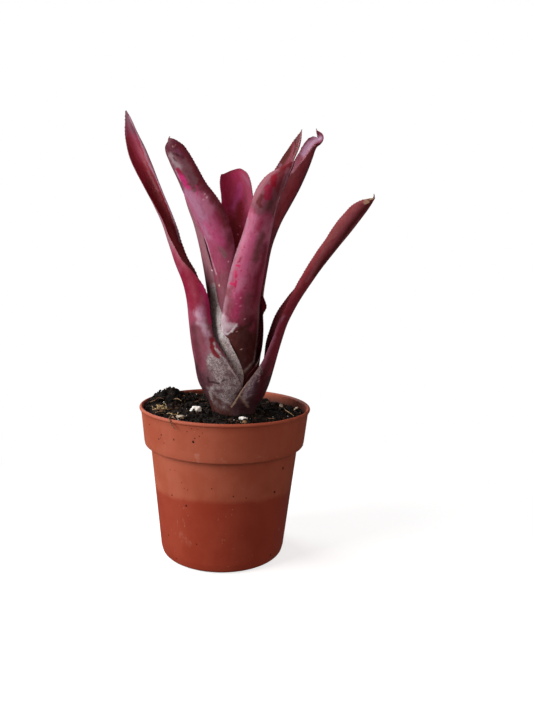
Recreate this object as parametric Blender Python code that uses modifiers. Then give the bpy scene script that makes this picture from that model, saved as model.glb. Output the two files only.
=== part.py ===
import math
import random

import bpy
import numpy as np
from mathutils import Vector

# All sizes below are millimetres and degrees; the model itself is in metres.
MM = 0.001
GAP = 0.3                      # air between pieces that touch on the real plant

# Nursery pot: 10.5 cm across its lip, a stepped band under the lip, a tapering body
LIP_RADIUS = 52.5
POT_HEIGHT = 92.5
LIP_HEIGHT = 2.2
BAND_TOP_RADIUS = 51.7
BAND_BOTTOM_RADIUS = 49.2
BAND_HEIGHT = 23.5
STEP_FILLET = 1.2
BODY_TOP_RADIUS = 45.6
BODY_BOTTOM_RADIUS = 38.1
BASE_ROUND = 3.0
WALL = 1.3
FLOOR = 1.8
STEPS = 44                     # facets round the pot and the soil
DRAIN_HOLES = 6
DRAIN_RADIUS = 3.5
DRAIN_RING = 27.0

# Soil: its level at the plant, a heap at the back left and a hollow at the back right
CROWN = Vector((6.0, 0.0, 88.5))
SOIL_RINGS = 10
SOIL_ROUGHNESS = 0.7
MOUNDS = [                     # centre x, centre y, spread, height
    (-33.0, 26.0, 15.0, 7.0),
    (-38.0, -8.0, 14.0, 2.5),
    (-8.0, 36.0, 12.0, 2.0),
    (34.0, 24.0, 17.0, -2.5),
    (38.0, -14.0, 14.0, -1.0),
]

# Short stem: a root stub in the soil and a cone that the leaf bases sit on
STEM_PROFILE = [               # radius, height above the soil at the plant
    (0.0, 16.5), (2.9, 16.0), (4.4, 14.5), (8.0, -0.5), (8.0, -3.0), (6.4, -5.0), (5.0, -12.0), (3.2, -20.0),
    (0.0, -22.0),
]
SHEATH_PIT = [(13.3, 30.0), (13.3, -1.0), (12.4, -3.6)]

# Loose pieces on the soil. Grains: centre x, centre y, length, width, height, turn about the upright
GRAINS = {
    "perlite_large": (-17.4, -8.3, 7.8, 6.0, 5.6, 15, "white"),
    "perlite_small": (12.1, -21.7, 5.4, 4.2, 3.6, -10, "white"),
    "cream_flake": (-25.6, -24.8, 9.0, 3.8, 3.2, 24, "cream"),
    "bark_chip": (13.5, -32.6, 4.6, 3.4, 3.0, 5, "brown"),
    "pale_grain": (34.8, 24.5, 4.4, 3.6, 3.4, 40, "cream"),
}
GRAIN_SUNK = 0.15              # share of its height by which a grain's middle stands above the soil
STRANDS = {                    # radius, colour, then points on the strand's middle line
    "straw_long": (0.45, "straw", [(-42.0, -19.5, 92.0), (-38.0, -20.5, 92.6), (-32.0, -17.5, 92.1)]),
    "straw_short": (0.4, "straw", [(-39.5, -24.5, 91.4), (-36.0, -23.0, 92.0), (-34.0, -20.5, 91.6)]),
    "fibre_right": (0.4, "straw", [(36.5, 2.4, 90.2), (38.0, -7.0, 90.8), (42.0, -16.5, 90.2)]),
    "fibre_back": (0.4, "straw", [(-33.0, 3.0, 93.9), (-30.5, 2.6, 94.4), (-27.6, 0.8, 93.4)]),
    "shell_piece": (0.6, "cream", [(42.6, -1.0, 90.2), (44.4, 0.4, 91.4), (45.6, 2.8, 90.2)]),
    "root_thread": (0.35, "brown", [(-24.5, -35.0, 90.6), (-26.6, -40.4, 91.8), (-27.8, -43.4, 93.4),
                                    (-27.4, -45.6, 92.0), (-25.6, -46.8, 89.6), (-23.2, -48.2, 87.2)]),
}
COLOURS = {
    "white": (0.72, 0.68, 0.60), "cream": (0.60, 0.48, 0.32), "brown": (0.13, 0.06, 0.035), "straw": (0.36, 0.22, 0.11),
}

# Leaves. Every row is one section through the leaf, from its base to its tip:
# height above the soil, reach from the plant's axis, azimuth of its middle line,
# azimuth that its back faces, half of its width, radius of its channel.
LEAF_THICKNESS = 0.9
LEAF_COLUMNS = 12
LEAF_ROWS = 25
LEAVES = {
    "leaf_far_right": dict(free=60, rows=[
        (-3, 11.4, 345, 345, 18.5, 11.4),
        (3, 13.0, 345, 345, 20.5, 13.0),
        (10, 17.3, 345, 345, 21.5, 16.1),
        (18, 20.4, 346, 346, 20.5, 17.3),
        (31, 24.2, 346, 355, 14.8, 12.5),
        (44, 27.3, 346, 368, 12.0, 8.6),
        (56, 31.0, 346, 370, 10.8, 7.3),
        (68, 36.8, 346, 362, 9.8, 6.6),
        (79, 43.4, 347, 350, 9.4, 6.1),
        (92, 51.8, 348, 341, 9.3, 6.2),
        (104, 60.3, 349, 337, 9.8, 6.6),
        (114, 67.6, 350, 335, 10.3, 6.9),
        (122, 73.6, 350, 335, 9.0, 6.6),
        (127, 77.2, 350, 335, 5.0, 5.5),
        (130, 79.0, 350, 335, 0.5, 4.0),
    ]),
    "leaf_far_left": dict(free=60, rows=[
        (-3, 10.1, 205, 205, 17.5, 10.1),
        (3, 11.7, 204, 205, 19.5, 11.7),
        (10, 16.5, 202, 206, 21.6, 15.2),
        (17, 21.6, 201, 207, 29.2, 18.1),
        (32, 25.0, 199, 207, 23.4, 16.3),
        (44, 27.3, 195, 205, 17.0, 12.0),
        (56, 28.8, 192, 202, 16.6, 12.0),
        (68, 30.3, 188, 193, 17.2, 12.6),
        (79, 33.3, 182, 177, 14.8, 11.2),
        (91, 38.4, 177, 162, 9.8, 7.0),
        (101, 42.2, 173, 151, 7.6, 5.2),
        (111, 45.2, 171, 134, 6.6, 4.2),
        (125, 50.9, 168, 108, 6.4, 3.9),
        (137, 56.3, 167, 92, 7.2, 4.6),
        (149, 61.2, 167, 80, 8.5, 5.4),
        (160, 65.8, 167, 70, 7.5, 5.4),
        (170, 69.5, 168, 62, 4.5, 4.5),
        (181, 73.3, 168, 60, 0.5, 4.0),
    ]),
    "leaf_left_behind": dict(free=90, rows=[
        (1, 8.6, 185, 185, 16.0, 8.6),
        (8, 11.5, 185, 185, 20.0, 11.5),
        (18, 14.9, 185, 185, 27.0, 14.9),
        (24, 15.1, 184, 185, 26.0, 15.1),
        (33, 15.3, 183, 184, 21.0, 15.3),
        (44, 15.7, 180, 182, 15.0, 15.6),
        (55, 16.3, 176, 180, 12.6, 14.7),
        (69, 17.9, 172, 176, 11.6, 12.4),
        (80, 20.2, 167, 174, 11.0, 10.8),
        (98, 24.8, 162, 170, 11.0, 9.6),
        (113, 29.4, 160, 166, 10.5, 9.2),
        (126, 34.2, 160, 162, 9.0, 9.0),
        (138, 37.2, 161, 160, 7.0, 8.0),
        (147, 38.5, 161, 160, 0.5, 6.0),
    ]),
    "leaf_right_hooked": dict(free=90, rows=[
        (3.5, 8.2, 45, 45, 14.0, 8.2),
        (10, 10.9, 45, 45, 19.0, 10.9),
        (18, 13.4, 45, 45, 26.0, 13.4),
        (24, 13.6, 45, 45, 24.5, 13.6),
        (29, 13.7, 44, 45, 19.5, 13.7),
        (37, 13.9, 43, 45, 14.0, 13.9),
        (50, 14.1, 40, 44, 11.3, 13.8),
        (69, 14.2, 34, 42, 10.7, 12.2),
        (92, 17.2, 23, 34, 11.0, 10.2),
        (104, 20.2, 19, 26, 11.4, 9.3),
        (115, 24.6, 16, 18, 12.0, 8.9),
        (127, 31.0, 14, 10, 12.2, 8.5),
        (137, 36.1, 13, 8, 12.4, 8.4),
        (147, 40.2, 13, 13, 12.2, 8.0),
        (155, 42.6, 12, 25, 9.8, 6.6),
        (162, 44.8, 12, 36, 7.0, 5.0),
        (167, 48.4, 11, 42, 3.2, 4.0),
        (171, 45.4, 11, 45, 0.5, 4.0),
    ]),
    "leaf_front": dict(free=70, rows=[
        (6, 7.8, 294, 294, 12.0, 7.8),
        (12, 9.9, 294, 294, 15.0, 9.9),
        (18, 11.9, 294, 294, 17.5, 11.9),
        (22, 12.0, 294, 294, 17.5, 12.0),
        (37, 12.1, 294, 295, 17.3, 12.1),
        (50, 13.7, 295, 298, 16.8, 12.8),
        (58, 15.2, 296, 301, 16.4, 13.1),
        (69, 16.9, 297, 304, 15.2, 12.6),
        (81, 19.2, 299, 303, 14.8, 11.7),
        (92, 21.5, 301, 301, 13.7, 10.5),
        (106, 25.4, 302, 295, 11.2, 8.7),
        (119, 30.0, 302, 291, 10.2, 8.0),
        (128, 33.7, 302, 289, 9.0, 7.4),
        (134, 37.2, 304, 288, 6.7, 7.0),
        (139, 41.3, 307, 288, 3.6, 6.4),
        (143, 44.8, 310, 288, 1.5, 6.0),
        (145, 46.2, 311, 288, 0.5, 5.0),
    ]),
    "leaf_left_broad": dict(free=70, rows=[
        (8.5, 7.3, 240, 240, 11.0, 7.3),
        (13, 8.9, 240, 240, 13.5, 8.9),
        (18, 10.6, 240, 240, 15.3, 10.6),
        (22, 10.6, 240, 240, 15.0, 10.6),
        (37, 10.7, 240, 240, 14.3, 10.7),
        (52, 12.2, 243, 243, 12.0, 11.6),
        (69, 13.8, 245, 246, 9.4, 12.0),
        (86, 16.2, 239, 247, 9.5, 10.6),
        (95, 18.4, 236, 247, 10.0, 10.0),
        (104, 21.1, 232, 246, 10.8, 10.1),
        (113, 24.7, 227, 244, 12.0, 11.2),
        (120, 28.4, 223, 241, 11.6, 10.8),
        (129, 33.2, 218, 238, 10.0, 9.4),
        (140, 39.2, 215, 236, 9.5, 8.4),
        (148, 43.2, 213, 235, 8.3, 7.6),
        (153, 45.6, 212, 235, 6.4, 7.0),
        (156, 46.3, 212, 235, 3.4, 6.0),
        (158, 46.0, 212, 235, 0.5, 5.0),
    ]),
    "leaf_back_right": dict(free=90, rows=[
        (11, 6.9, 75, 75, 9.0, 6.9),
        (14.5, 8.0, 75, 75, 11.0, 8.0),
        (18, 9.1, 75, 75, 12.5, 9.1),
        (22, 9.2, 75, 75, 12.5, 9.2),
        (37, 9.4, 74, 75, 11.5, 9.4),
        (69, 10.0, 70, 72, 9.5, 10.0),
        (86, 10.5, 64, 67, 8.0, 10.0),
        (100, 12.2, 56, 62, 7.6, 9.6),
        (110, 14.8, 50, 58, 7.8, 9.2),
        (121, 18.4, 46, 55, 8.4, 8.8),
        (134, 24.8, 42, 50, 8.2, 8.0),
        (146, 31.6, 39, 50, 6.4, 7.0),
        (157, 37.4, 37, 50, 5.2, 6.0),
        (166, 41.2, 35, 50, 3.7, 5.0),
        (174, 43.6, 34, 50, 0.5, 4.0),
    ]),
    "leaf_heart": dict(free=90, rows=[
        (13.5, 6.2, 120, 120, 8.0, 6.2),
        (16, 6.9, 120, 120, 9.5, 6.9),
        (18, 7.7, 120, 120, 10.2, 7.7),
        (22, 7.8, 120, 120, 10.2, 7.8),
        (37, 7.9, 118, 120, 10.2, 7.9),
        (69, 8.3, 112, 112, 10.5, 8.6),
        (93, 8.9, 104, 102, 10.6, 11.0),
        (117, 11.5, 101, 98, 11.2, 12.0),
        (132, 13.5, 102, 98, 10.9, 12.5),
        (141, 15.0, 108, 98, 9.4, 12.0),
        (146, 15.8, 112, 98, 6.6, 10.0),
        (148.5, 16.2, 114, 98, 0.5, 8.0),
    ]),
}


def smooth_step(value):
    value = min(max(value, 0.0), 1.0)
    return value * value * (3.0 - 2.0 * value)


def smooth_rows(rows, samples):
    """Points on one smooth curve through the rows, evenly spread along it."""
    table = np.array(rows, float)
    azimuth = np.radians(table[:, 2])
    middle = np.stack([table[:, 1] * np.cos(azimuth), table[:, 1] * np.sin(azimuth), table[:, 0]], 1)
    facing = np.radians(table[:, 3])
    values = np.column_stack([middle, facing, table[:, 4], table[:, 5]])
    length = np.concatenate([[0.0], np.cumsum(np.linalg.norm(np.diff(middle, axis=0), axis=1))])
    slope = np.gradient(values, length, axis=0)
    result = []
    for along in np.linspace(0.0, length[-1], samples):
        i = min(int(np.searchsorted(length, along, side="right")) - 1, len(length) - 2)
        step = length[i + 1] - length[i]
        t = (along - length[i]) / step
        result.append((2 * t ** 3 - 3 * t ** 2 + 1) * values[i] + (t ** 3 - 2 * t ** 2 + t) * step * slope[i]
                      + (3 * t ** 2 - 2 * t ** 3) * values[i + 1] + (t ** 3 - t ** 2) * step * slope[i + 1])
    return np.array(result)


def leaf_sections(leaf, samples):
    """For each section its middle point, sideways and backwards directions, half width and channel radius."""
    curve = smooth_rows(leaf["rows"], samples)
    along = np.gradient(curve[:, :3], axis=0)
    sections = []
    for row, direction in zip(curve, along):
        tangent = Vector(direction).normalized()
        upright = smooth_step((row[2] - 0.35 * leaf["free"]) / (0.65 * leaf["free"]))
        tangent = Vector((0, 0, 1)).lerp(tangent, upright).normalized()
        back = Vector((math.cos(row[3]), math.sin(row[3]), 0.0))
        back = (back - tangent * back.dot(tangent)).normalized()
        sections.append((Vector(row[:3]), tangent.cross(back), back, max(row[4], 0.3), max(row[5], 2.0)))
    return sections


def leaf_point(section, across):
    """Point of a leaf at across = -1 to 1 of its half width, in millimetres above the soil at the plant."""
    middle, side, back, half_width, channel = section
    turn = across * half_width / channel
    return middle + side * channel * math.sin(turn) - back * channel * (1.0 - math.cos(turn))


def material(name, colour, roughness, metallic=0.0):
    made = bpy.data.materials.new(name)
    made.use_nodes = True
    shader = made.node_tree.nodes["Principled BSDF"]
    shader.inputs["Base Color"].default_value = (*colour, 1.0)
    shader.inputs["Roughness"].default_value = roughness
    shader.inputs["Metallic"].default_value = metallic
    made.diffuse_color = (*colour, 1.0)
    return made


def move_to(collection, thing):
    for holder in list(thing.users_collection):
        holder.objects.unlink(thing)
    collection.objects.link(thing)


def make_leaf(name, leaf, collection, finish):
    bpy.ops.mesh.primitive_grid_add(x_subdivisions=LEAF_COLUMNS, y_subdivisions=LEAF_ROWS, size=2)
    blade = bpy.context.object
    blade.name = blade.data.name = name
    sections = leaf_sections(leaf, LEAF_ROWS + 1)
    for vertex in blade.data.vertices:
        row = round((vertex.co.y + 1.0) / 2.0 * LEAF_ROWS)
        vertex.co = (CROWN + leaf_point(sections[row], vertex.co.x)) * MM
    split = blade.modifiers.new("split quads alike", "TRIANGULATE")
    split.quad_method = "FIXED"
    body = blade.modifiers.new("blade thickness", "SOLIDIFY")
    body.thickness = LEAF_THICKNESS * MM
    body.offset = 0.0
    blade.data.materials.append(finish)
    move_to(collection, blade)
    return blade


def turned(name, profile, steps, collection, finish):
    """A closed turned body from a profile of (radius, height) that runs from the axis round to the axis."""
    mesh = bpy.data.meshes.new(name)
    points = [(radius * MM, 0.0, height * MM) for radius, height in profile]
    mesh.from_pydata(points, [(i, i + 1) for i in range(len(points) - 1)], [])
    body = bpy.data.objects.new(name, mesh)
    collection.objects.link(body)
    screw = body.modifiers.new("turn", "SCREW")
    screw.steps = screw.render_steps = steps
    screw.use_merge_vertices = True
    screw.merge_threshold = 0.00005
    screw.use_smooth_shade = True
    if finish:
        mesh.materials.append(finish)
    return body


def cut(body, cutter, cutters):
    cutter.hide_render = True
    cutter.display_type = "WIRE"
    move_to(cutters, cutter)
    removal = body.modifiers.new("cut " + cutter.name, "BOOLEAN")
    removal.operation = "DIFFERENCE"
    removal.object = cutter
    removal.solver = "EXACT"


def corner(centre, radius, start, end, count):
    """Points of an arc, as (radius from the axis, height)."""
    return [(centre[0] + radius * math.cos(math.radians(a)), centre[1] + radius * math.sin(math.radians(a)))
            for a in np.linspace(start, end, count)]


def body_radius(height):
    """Outer radius of the pot's tapering body under its band."""
    top = POT_HEIGHT - BAND_HEIGHT
    return BODY_BOTTOM_RADIUS + (BODY_TOP_RADIUS - BODY_BOTTOM_RADIUS) * height / top


def inner_radius(height):
    """Inner radius of the pot's wall at a height."""
    ledge = POT_HEIGHT - BAND_HEIGHT
    if height < ledge:
        return body_radius(height) - WALL
    share = (height - ledge) / BAND_HEIGHT
    return BAND_BOTTOM_RADIUS + (BAND_TOP_RADIUS - BAND_BOTTOM_RADIUS) * share - WALL


def wall_inside():
    """Profile of the pot's inner wall, from the middle of its floor to the step under the lip."""
    ledge = POT_HEIGHT - BAND_HEIGHT
    low = FLOOR + 2.2
    return [(0.0, FLOOR), (inner_radius(FLOOR) - 2.0, FLOOR), (inner_radius(low), low),
            (inner_radius(ledge - 1.0), ledge - 1.0), (inner_radius(ledge), ledge + WALL)]


def make_pot(collection, cutters, finish):
    ledge = POT_HEIGHT - BAND_HEIGHT
    lip = LIP_HEIGHT / 2
    inside = wall_inside() + [(inner_radius(POT_HEIGHT), POT_HEIGHT - 1.0)]
    rim = corner((LIP_RADIUS - lip, POT_HEIGHT - lip), lip, 100, -60, 7)
    band = [(BAND_TOP_RADIUS, POT_HEIGHT - LIP_HEIGHT)]
    band += corner((BAND_BOTTOM_RADIUS - STEP_FILLET, ledge + STEP_FILLET), STEP_FILLET, 0, -90, 4)
    under = [(body_radius(ledge) + 0.2, ledge), (body_radius(ledge) - 0.1, ledge - 0.8)]
    foot = corner((BODY_BOTTOM_RADIUS - BASE_ROUND, BASE_ROUND), BASE_ROUND, 0, -90, 5)
    pot = turned("pot", inside + rim + band + under + foot + [(0.0, 0.0)], STEPS, collection, finish)
    for number in range(DRAIN_HOLES):
        angle = 2 * math.pi * (number + 0.5) / DRAIN_HOLES
        bpy.ops.mesh.primitive_cylinder_add(vertices=16, radius=DRAIN_RADIUS * MM, depth=4 * FLOOR * MM,
                                            location=(DRAIN_RING * MM * math.cos(angle),
                                                      DRAIN_RING * MM * math.sin(angle), 0.0))
        drill = bpy.context.object
        drill.name = "drain_drill_%d" % (number + 1)
        cut(pot, drill, cutters)
    return pot


def soil_height(x, y):
    """Height of the soil's surface with its heaps, before its crumbs."""
    height = CROWN.z
    for centre_x, centre_y, spread, rise in MOUNDS:
        height += rise * math.exp(-((x - centre_x) ** 2 + (y - centre_y) ** 2) / (2 * spread ** 2))
    return height


def make_soil(collection, cutters, finish):
    rng = random.Random(7)
    top_radius = inner_radius(CROWN.z - 4.0) - GAP
    profile = [(top_radius * i / SOIL_RINGS, CROWN.z) for i in range(SOIL_RINGS + 1)]
    profile += [(max(radius - GAP, 0.0), height + GAP) for radius, height in reversed(wall_inside())]
    shape = turned("soil_shape", profile, STEPS, cutters, None)
    soil = bpy.data.objects.new("soil", bpy.data.meshes.new_from_object(
        shape.evaluated_get(bpy.context.evaluated_depsgraph_get())))
    bpy.data.objects.remove(shape)
    for vertex in soil.data.vertices:
        if vertex.co.z > (CROWN.z - 0.5) * MM:
            crumb = rng.uniform(-SOIL_ROUGHNESS, SOIL_ROUGHNESS)
            vertex.co.z = (soil_height(vertex.co.x / MM, vertex.co.y / MM) + crumb) * MM
    soil.data.materials.append(finish)
    collection.objects.link(soil)
    root = [(radius + GAP, height - GAP) for radius, height in STEM_PROFILE if height < -4 and radius > 0]
    pit = turned("planting_pit", [(0.0, 30.0)] + SHEATH_PIT + root + [(0.0, root[-1][1] - 2.5)],
                 STEPS, cutters, None)
    pit.location = CROWN * MM
    cut(soil, pit, cutters)
    return soil


def grain_shape(name, grain, extra):
    """A lumpy grain, the same every time for one name, larger all round by the extra."""
    x, y, length, width, height, turn = grain[:6]
    rng = random.Random(name)
    bpy.ops.mesh.primitive_ico_sphere_add(subdivisions=2, radius=1)
    shape = bpy.context.object
    for vertex in shape.data.vertices:
        lump = vertex.co * rng.uniform(0.84, 1.0)
        vertex.co = [part * (size / 2 + extra) * MM for part, size in zip(lump, (length, width, height))]
    shape.rotation_euler = (0.0, 0.0, math.radians(turn))
    shape.location = (x * MM, y * MM, (soil_height(x, y) + GRAIN_SUNK * height) * MM)
    return shape


def make_grain(name, grain, soil, collection, cutters, finish):
    piece = grain_shape(name, grain, 0.0)
    piece.name = piece.data.name = name
    piece.data.materials.append(finish)
    move_to(collection, piece)
    hollow = grain_shape(name, grain, 1.5 * GAP)
    hollow.name = "hollow_for_" + name
    cut(soil, hollow, cutters)


def make_strand(name, radius, points, collection, finish):
    """A straw or root: a round strand through the points, closed at both ends."""
    curve = bpy.data.curves.new(name, "CURVE")
    curve.dimensions = "3D"
    curve.resolution_u = 5
    curve.bevel_depth = radius * MM
    curve.bevel_resolution = 1
    curve.use_fill_caps = True
    spline = curve.splines.new("BEZIER")
    spline.bezier_points.add(len(points) - 1)
    for knot, point in zip(spline.bezier_points, points):
        knot.co = Vector(point) * MM
        knot.handle_left_type = knot.handle_right_type = "AUTO"
    strand = bpy.data.objects.new(name, curve)
    curve.materials.append(finish)
    collection.objects.link(strand)


def main():
    for thing in list(bpy.data.objects):
        bpy.data.objects.remove(thing)
    collection = bpy.data.collections.new("neoregelia_in_nursery_pot")
    cutters = bpy.data.collections.new("cutters")
    for made in (collection, cutters):
        bpy.context.scene.collection.children.link(made)

    make_pot(collection, cutters, material("terracotta plastic", (0.50, 0.15, 0.08), 0.6))
    soil = make_soil(collection, cutters, material("dark peat", (0.03, 0.022, 0.018), 0.95))
    stem = turned("stem", STEM_PROFILE, 32, collection, material("pale stem", (0.35, 0.28, 0.16), 0.7))
    stem.location = CROWN * MM
    for number, (name, leaf) in enumerate(LEAVES.items()):
        shade = 0.28 + 0.02 * number
        make_leaf(name, leaf, collection, material(name + " wine", (shade, 0.05, 0.09), 0.5))
    for name, grain in GRAINS.items():
        make_grain(name, grain, soil, collection, cutters, material(name + " grit", COLOURS[grain[6]], 0.9))
    for name, (radius, colour, points) in STRANDS.items():
        make_strand(name, radius, points, collection, material(name + " fibre", COLOURS[colour], 0.8))


main()
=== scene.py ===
import math
import random

import bmesh
import bpy
import numpy as np
from mathutils import Matrix, Vector, noise


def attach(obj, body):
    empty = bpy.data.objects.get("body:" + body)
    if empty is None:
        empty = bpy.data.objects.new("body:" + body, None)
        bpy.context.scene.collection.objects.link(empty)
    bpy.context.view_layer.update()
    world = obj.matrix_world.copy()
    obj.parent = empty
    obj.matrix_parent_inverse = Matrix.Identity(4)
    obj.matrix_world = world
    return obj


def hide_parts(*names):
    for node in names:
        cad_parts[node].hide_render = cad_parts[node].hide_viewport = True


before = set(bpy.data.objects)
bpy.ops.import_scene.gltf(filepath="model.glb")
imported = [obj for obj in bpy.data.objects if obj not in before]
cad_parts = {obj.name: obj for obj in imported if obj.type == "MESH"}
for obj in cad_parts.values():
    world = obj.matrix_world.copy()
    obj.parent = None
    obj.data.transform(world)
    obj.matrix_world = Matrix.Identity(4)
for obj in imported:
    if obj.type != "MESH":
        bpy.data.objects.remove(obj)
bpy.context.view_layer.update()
mm = 0.001                                    # sizes below are in millimetres, scales of shader noise per metre
bpy.ops.object.select_all(action="DESELECT")
print("frame loaded:", len(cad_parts), "nodes")


# camera, light and backdrop

studio = dict(
    target=(24.5, 0.0, 123.7), distance=369.3, rise=7.43, roll=1.74, lens=30.38,
    floorTone=(0.6, 0.6, 0.6), backTone=(1.0, 1.0, 1.0), ambient=(1.0, 0.93, 0.88), ambientStrength=0.11,
    sensor=36, clip=(10, 30000), lampTarget=(0, 0, 140), floorRadius=6000, floorLevel=-0.4,
    window=dict(place=(-980, -460, 560), size=(700, 900), power=18.0, tone=(1.0, 0.985, 0.96)),
    behind=dict(place=(-620, 620, 760), size=(500, 500), power=5.0, tone=(0.97, 0.98, 1.0)),
    fill=dict(place=(500, -1000, 500), size=(800, 800), power=3.2, tone=(1.0, 0.85, 0.79)),
    warm=dict(place=(900, -250, 640), size=(450, 450), power=0.55, tone=(1.0, 0.68, 0.60)),
    fadeFrom=50, fadeTo=260, floorGlow=0.72,      # the shaded floor fades into the even one between these
)


def setCamera():
    rise = math.radians(studio["rise"])
    away = Vector((0, -math.cos(rise), math.sin(rise))) * studio["distance"] * mm
    bpy.ops.object.camera_add(location=Vector(studio["target"]) * mm + away)
    camera = bpy.context.object
    camera.rotation_mode = "QUATERNION"
    turn = Matrix.Rotation(math.pi / 2 - rise, 3, "X") @ Matrix.Rotation(math.radians(studio["roll"]), 3, "Z")
    camera.rotation_quaternion = turn.to_quaternion()
    camera.data.sensor_width = studio["sensor"]
    camera.data.lens = studio["lens"]
    camera.data.clip_start, camera.data.clip_end = (v * mm for v in studio["clip"])
    bpy.context.scene.camera = camera


def addLamp(name, lamp):
    bpy.ops.object.light_add(type="AREA", location=Vector(lamp["place"]) * mm)
    light = bpy.context.object
    light.name = name
    light.data.shape = "RECTANGLE"
    light.data.size, light.data.size_y = lamp["size"][0] * mm, lamp["size"][1] * mm
    light.data.energy = lamp["power"]
    light.data.color = lamp["tone"]
    aim = Vector(studio["lampTarget"]) * mm - light.location
    light.rotation_euler = aim.to_track_quat("-Z", "Y").to_euler()


def setStudio():
    for name in ("window", "behind", "fill", "warm"):
        addLamp(name + "Light", studio[name])
    world = bpy.data.worlds.new("studioWorld")
    bpy.context.scene.world = world
    world.use_nodes = True
    tree = world.node_tree
    ambient = tree.nodes["Background"]
    ambient.inputs[0].default_value = (*studio["ambient"], 1)
    ambient.inputs[1].default_value = studio["ambientStrength"]
    seen = tree.nodes.new("ShaderNodeBackground")
    seen.inputs[0].default_value = (*studio["backTone"], 1)
    ray = tree.nodes.new("ShaderNodeLightPath")
    pick = tree.nodes.new("ShaderNodeMixShader")
    for source, target in ((ray.outputs["Is Camera Ray"], pick.inputs[0]), (ambient.outputs[0], pick.inputs[1]),
                           (seen.outputs[0], pick.inputs[2]),
                           (pick.outputs[0], tree.nodes["World Output"].inputs[0])):
        tree.links.new(source, target)
    bpy.context.scene.view_settings.view_transform = "Standard"

    bpy.ops.mesh.primitive_circle_add(vertices=96, radius=studio["floorRadius"] * mm, fill_type="NGON",
                                      location=(0, 0, studio["floorLevel"] * mm))
    floor = bpy.context.object
    floor.name = "floor"
    floor.visible_diffuse = floor.visible_glossy = False
    paper = Recipe("palePaper")
    paper.finish(colour=studio["floorTone"], roughness=0.9, specular=0.0)
    paper.shader.inputs["Emission Color"].default_value = (1, 1, 1, 1)
    paper.shader.inputs["Emission Strength"].default_value = studio["floorGlow"]
    distance = paper.node("VectorMath", dict(operation="LENGTH"), {0: paper.place()}, out=1)
    glow, fade = paper.node("Emission"), (studio["fadeFrom"] * mm, studio["fadeTo"] * mm)
    blend = paper.node("MixShader", None, {0: distance.step(*fade), 2: glow})
    paper.tree.links.new(paper.shader.outputs[0], blend.socket.node.inputs[1])
    paper.tree.links.new(blend.socket, paper.tree.nodes["Material Output"].inputs[0])
    floor.data.materials.append(paper.material)


# materials: a wire is one socket, and maths on wires adds the Math nodes

class Wire:
    def __init__(self, recipe, socket):
        self.recipe, self.socket = recipe, socket

    def calc(self, operation, *values):
        return self.recipe.node("Math", dict(operation=operation), dict(enumerate(values)))

    def __add__(self, other):
        return self.calc("ADD", self, other)

    def __sub__(self, other):
        return self.calc("SUBTRACT", self, other)

    def __rsub__(self, other):
        return self.calc("SUBTRACT", other, self)

    def __mul__(self, other):
        return self.calc("MULTIPLY", self, other)

    __radd__ = __add__
    __rmul__ = __mul__

    def size(self):                           # without its sign
        return self.calc("ABSOLUTE", self)

    def step(self, low, high):
        return self.recipe.node("MapRange", dict(interpolation_type="SMOOTHSTEP"),
                                {"Value": self, "From Min": low, "From Max": high})


class Recipe:
    scatterRadius = (1.0, 0.22, 0.14)         # how far red, green and blue light travels under a surface
    scatterScale = 0.8

    def __init__(self, name):
        self.material = bpy.data.materials.new(name)
        self.material.use_nodes = True
        self.tree = self.material.node_tree
        self.shader = self.tree.nodes["Principled BSDF"]

    def node(self, kind, settings=None, inputs=None, out=0):
        made = self.tree.nodes.new("ShaderNode" + kind)
        for key, value in (settings or {}).items():
            setattr(made, key, value)
        for key, value in (inputs or {}).items():
            self.plug(value, made.inputs[key])
        return Wire(self, made.outputs[out])

    def plug(self, value, target):
        if isinstance(value, Wire):
            self.tree.links.new(value.socket, target)
        elif isinstance(value, tuple) and len(value) == 3 and target.type == "RGBA":
            target.default_value = (*value, 1)
        else:
            target.default_value = value

    def place(self):
        return self.node("TexCoord", out="Object")

    def painted(self, name):
        return self.node("Attribute", dict(attribute_name=name), out="Fac")

    def stretched(self, vector, scale, shift=(0, 0, 0)):
        return self.node("Mapping", None, {"Vector": vector, "Scale": scale, "Location": shift})

    def grain(self, vector, scale, detail=3.0, roughness=0.55, distortion=0.0):
        return self.node("TexNoise", None, {"Vector": vector, "Scale": scale, "Detail": detail,
                                            "Roughness": roughness, "Distortion": distortion})

    def cells(self, vector, scale):
        return self.node("TexVoronoi", None, {"Vector": vector, "Scale": scale}, out="Distance")

    def mix(self, factor, first, second):
        return self.node("Mix", dict(data_type="RGBA"), {0: factor, 6: first, 7: second}, out=2)

    def bump(self, height, strength, depth):
        return self.node("Bump", None, {"Height": height, "Strength": strength, "Distance": depth * mm})

    def finish(self, colour, roughness, normal=None, specular=0.5, scatter=0.0):
        for key, value in (("Base Color", colour), ("Roughness", roughness), ("Normal", normal),
                           ("Specular IOR Level", specular), ("Subsurface Weight", scatter)):
            if value is not None:
                self.plug(value, self.shader.inputs[key])
        self.shader.inputs["Subsurface Radius"].default_value = self.scatterRadius
        self.shader.inputs["Subsurface Scale"].default_value = self.scatterScale * mm
        return self.material


def tone(red, green, blue):                   # a colour as seen on a screen, made linear
    return tuple(((c / 255 + 0.055) / 1.055) ** 2.4 if c > 10 else c / 255 / 12.92 for c in (red, green, blue))


setCamera()
setStudio()
print("camera and studio set")


# common modelling steps

def pickOnly(*pieces):
    bpy.ops.object.select_all(action="DESELECT")
    for piece in pieces:
        piece.select_set(True)
    bpy.context.view_layer.objects.active = pieces[0]


def ready(piece, name, material, smooth, replaced=()):
    piece.name = piece.data.name = name
    piece.data.materials.append(material)
    pickOnly(piece)
    bpy.ops.object.shade_smooth_by_angle(angle=math.radians(smooth))
    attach(piece, "root")
    if replaced:
        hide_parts(*replaced)


def applyAll(piece):
    pickOnly(piece)
    for modifier in list(piece.modifiers):
        bpy.ops.object.modifier_apply(modifier=modifier.name)


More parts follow.
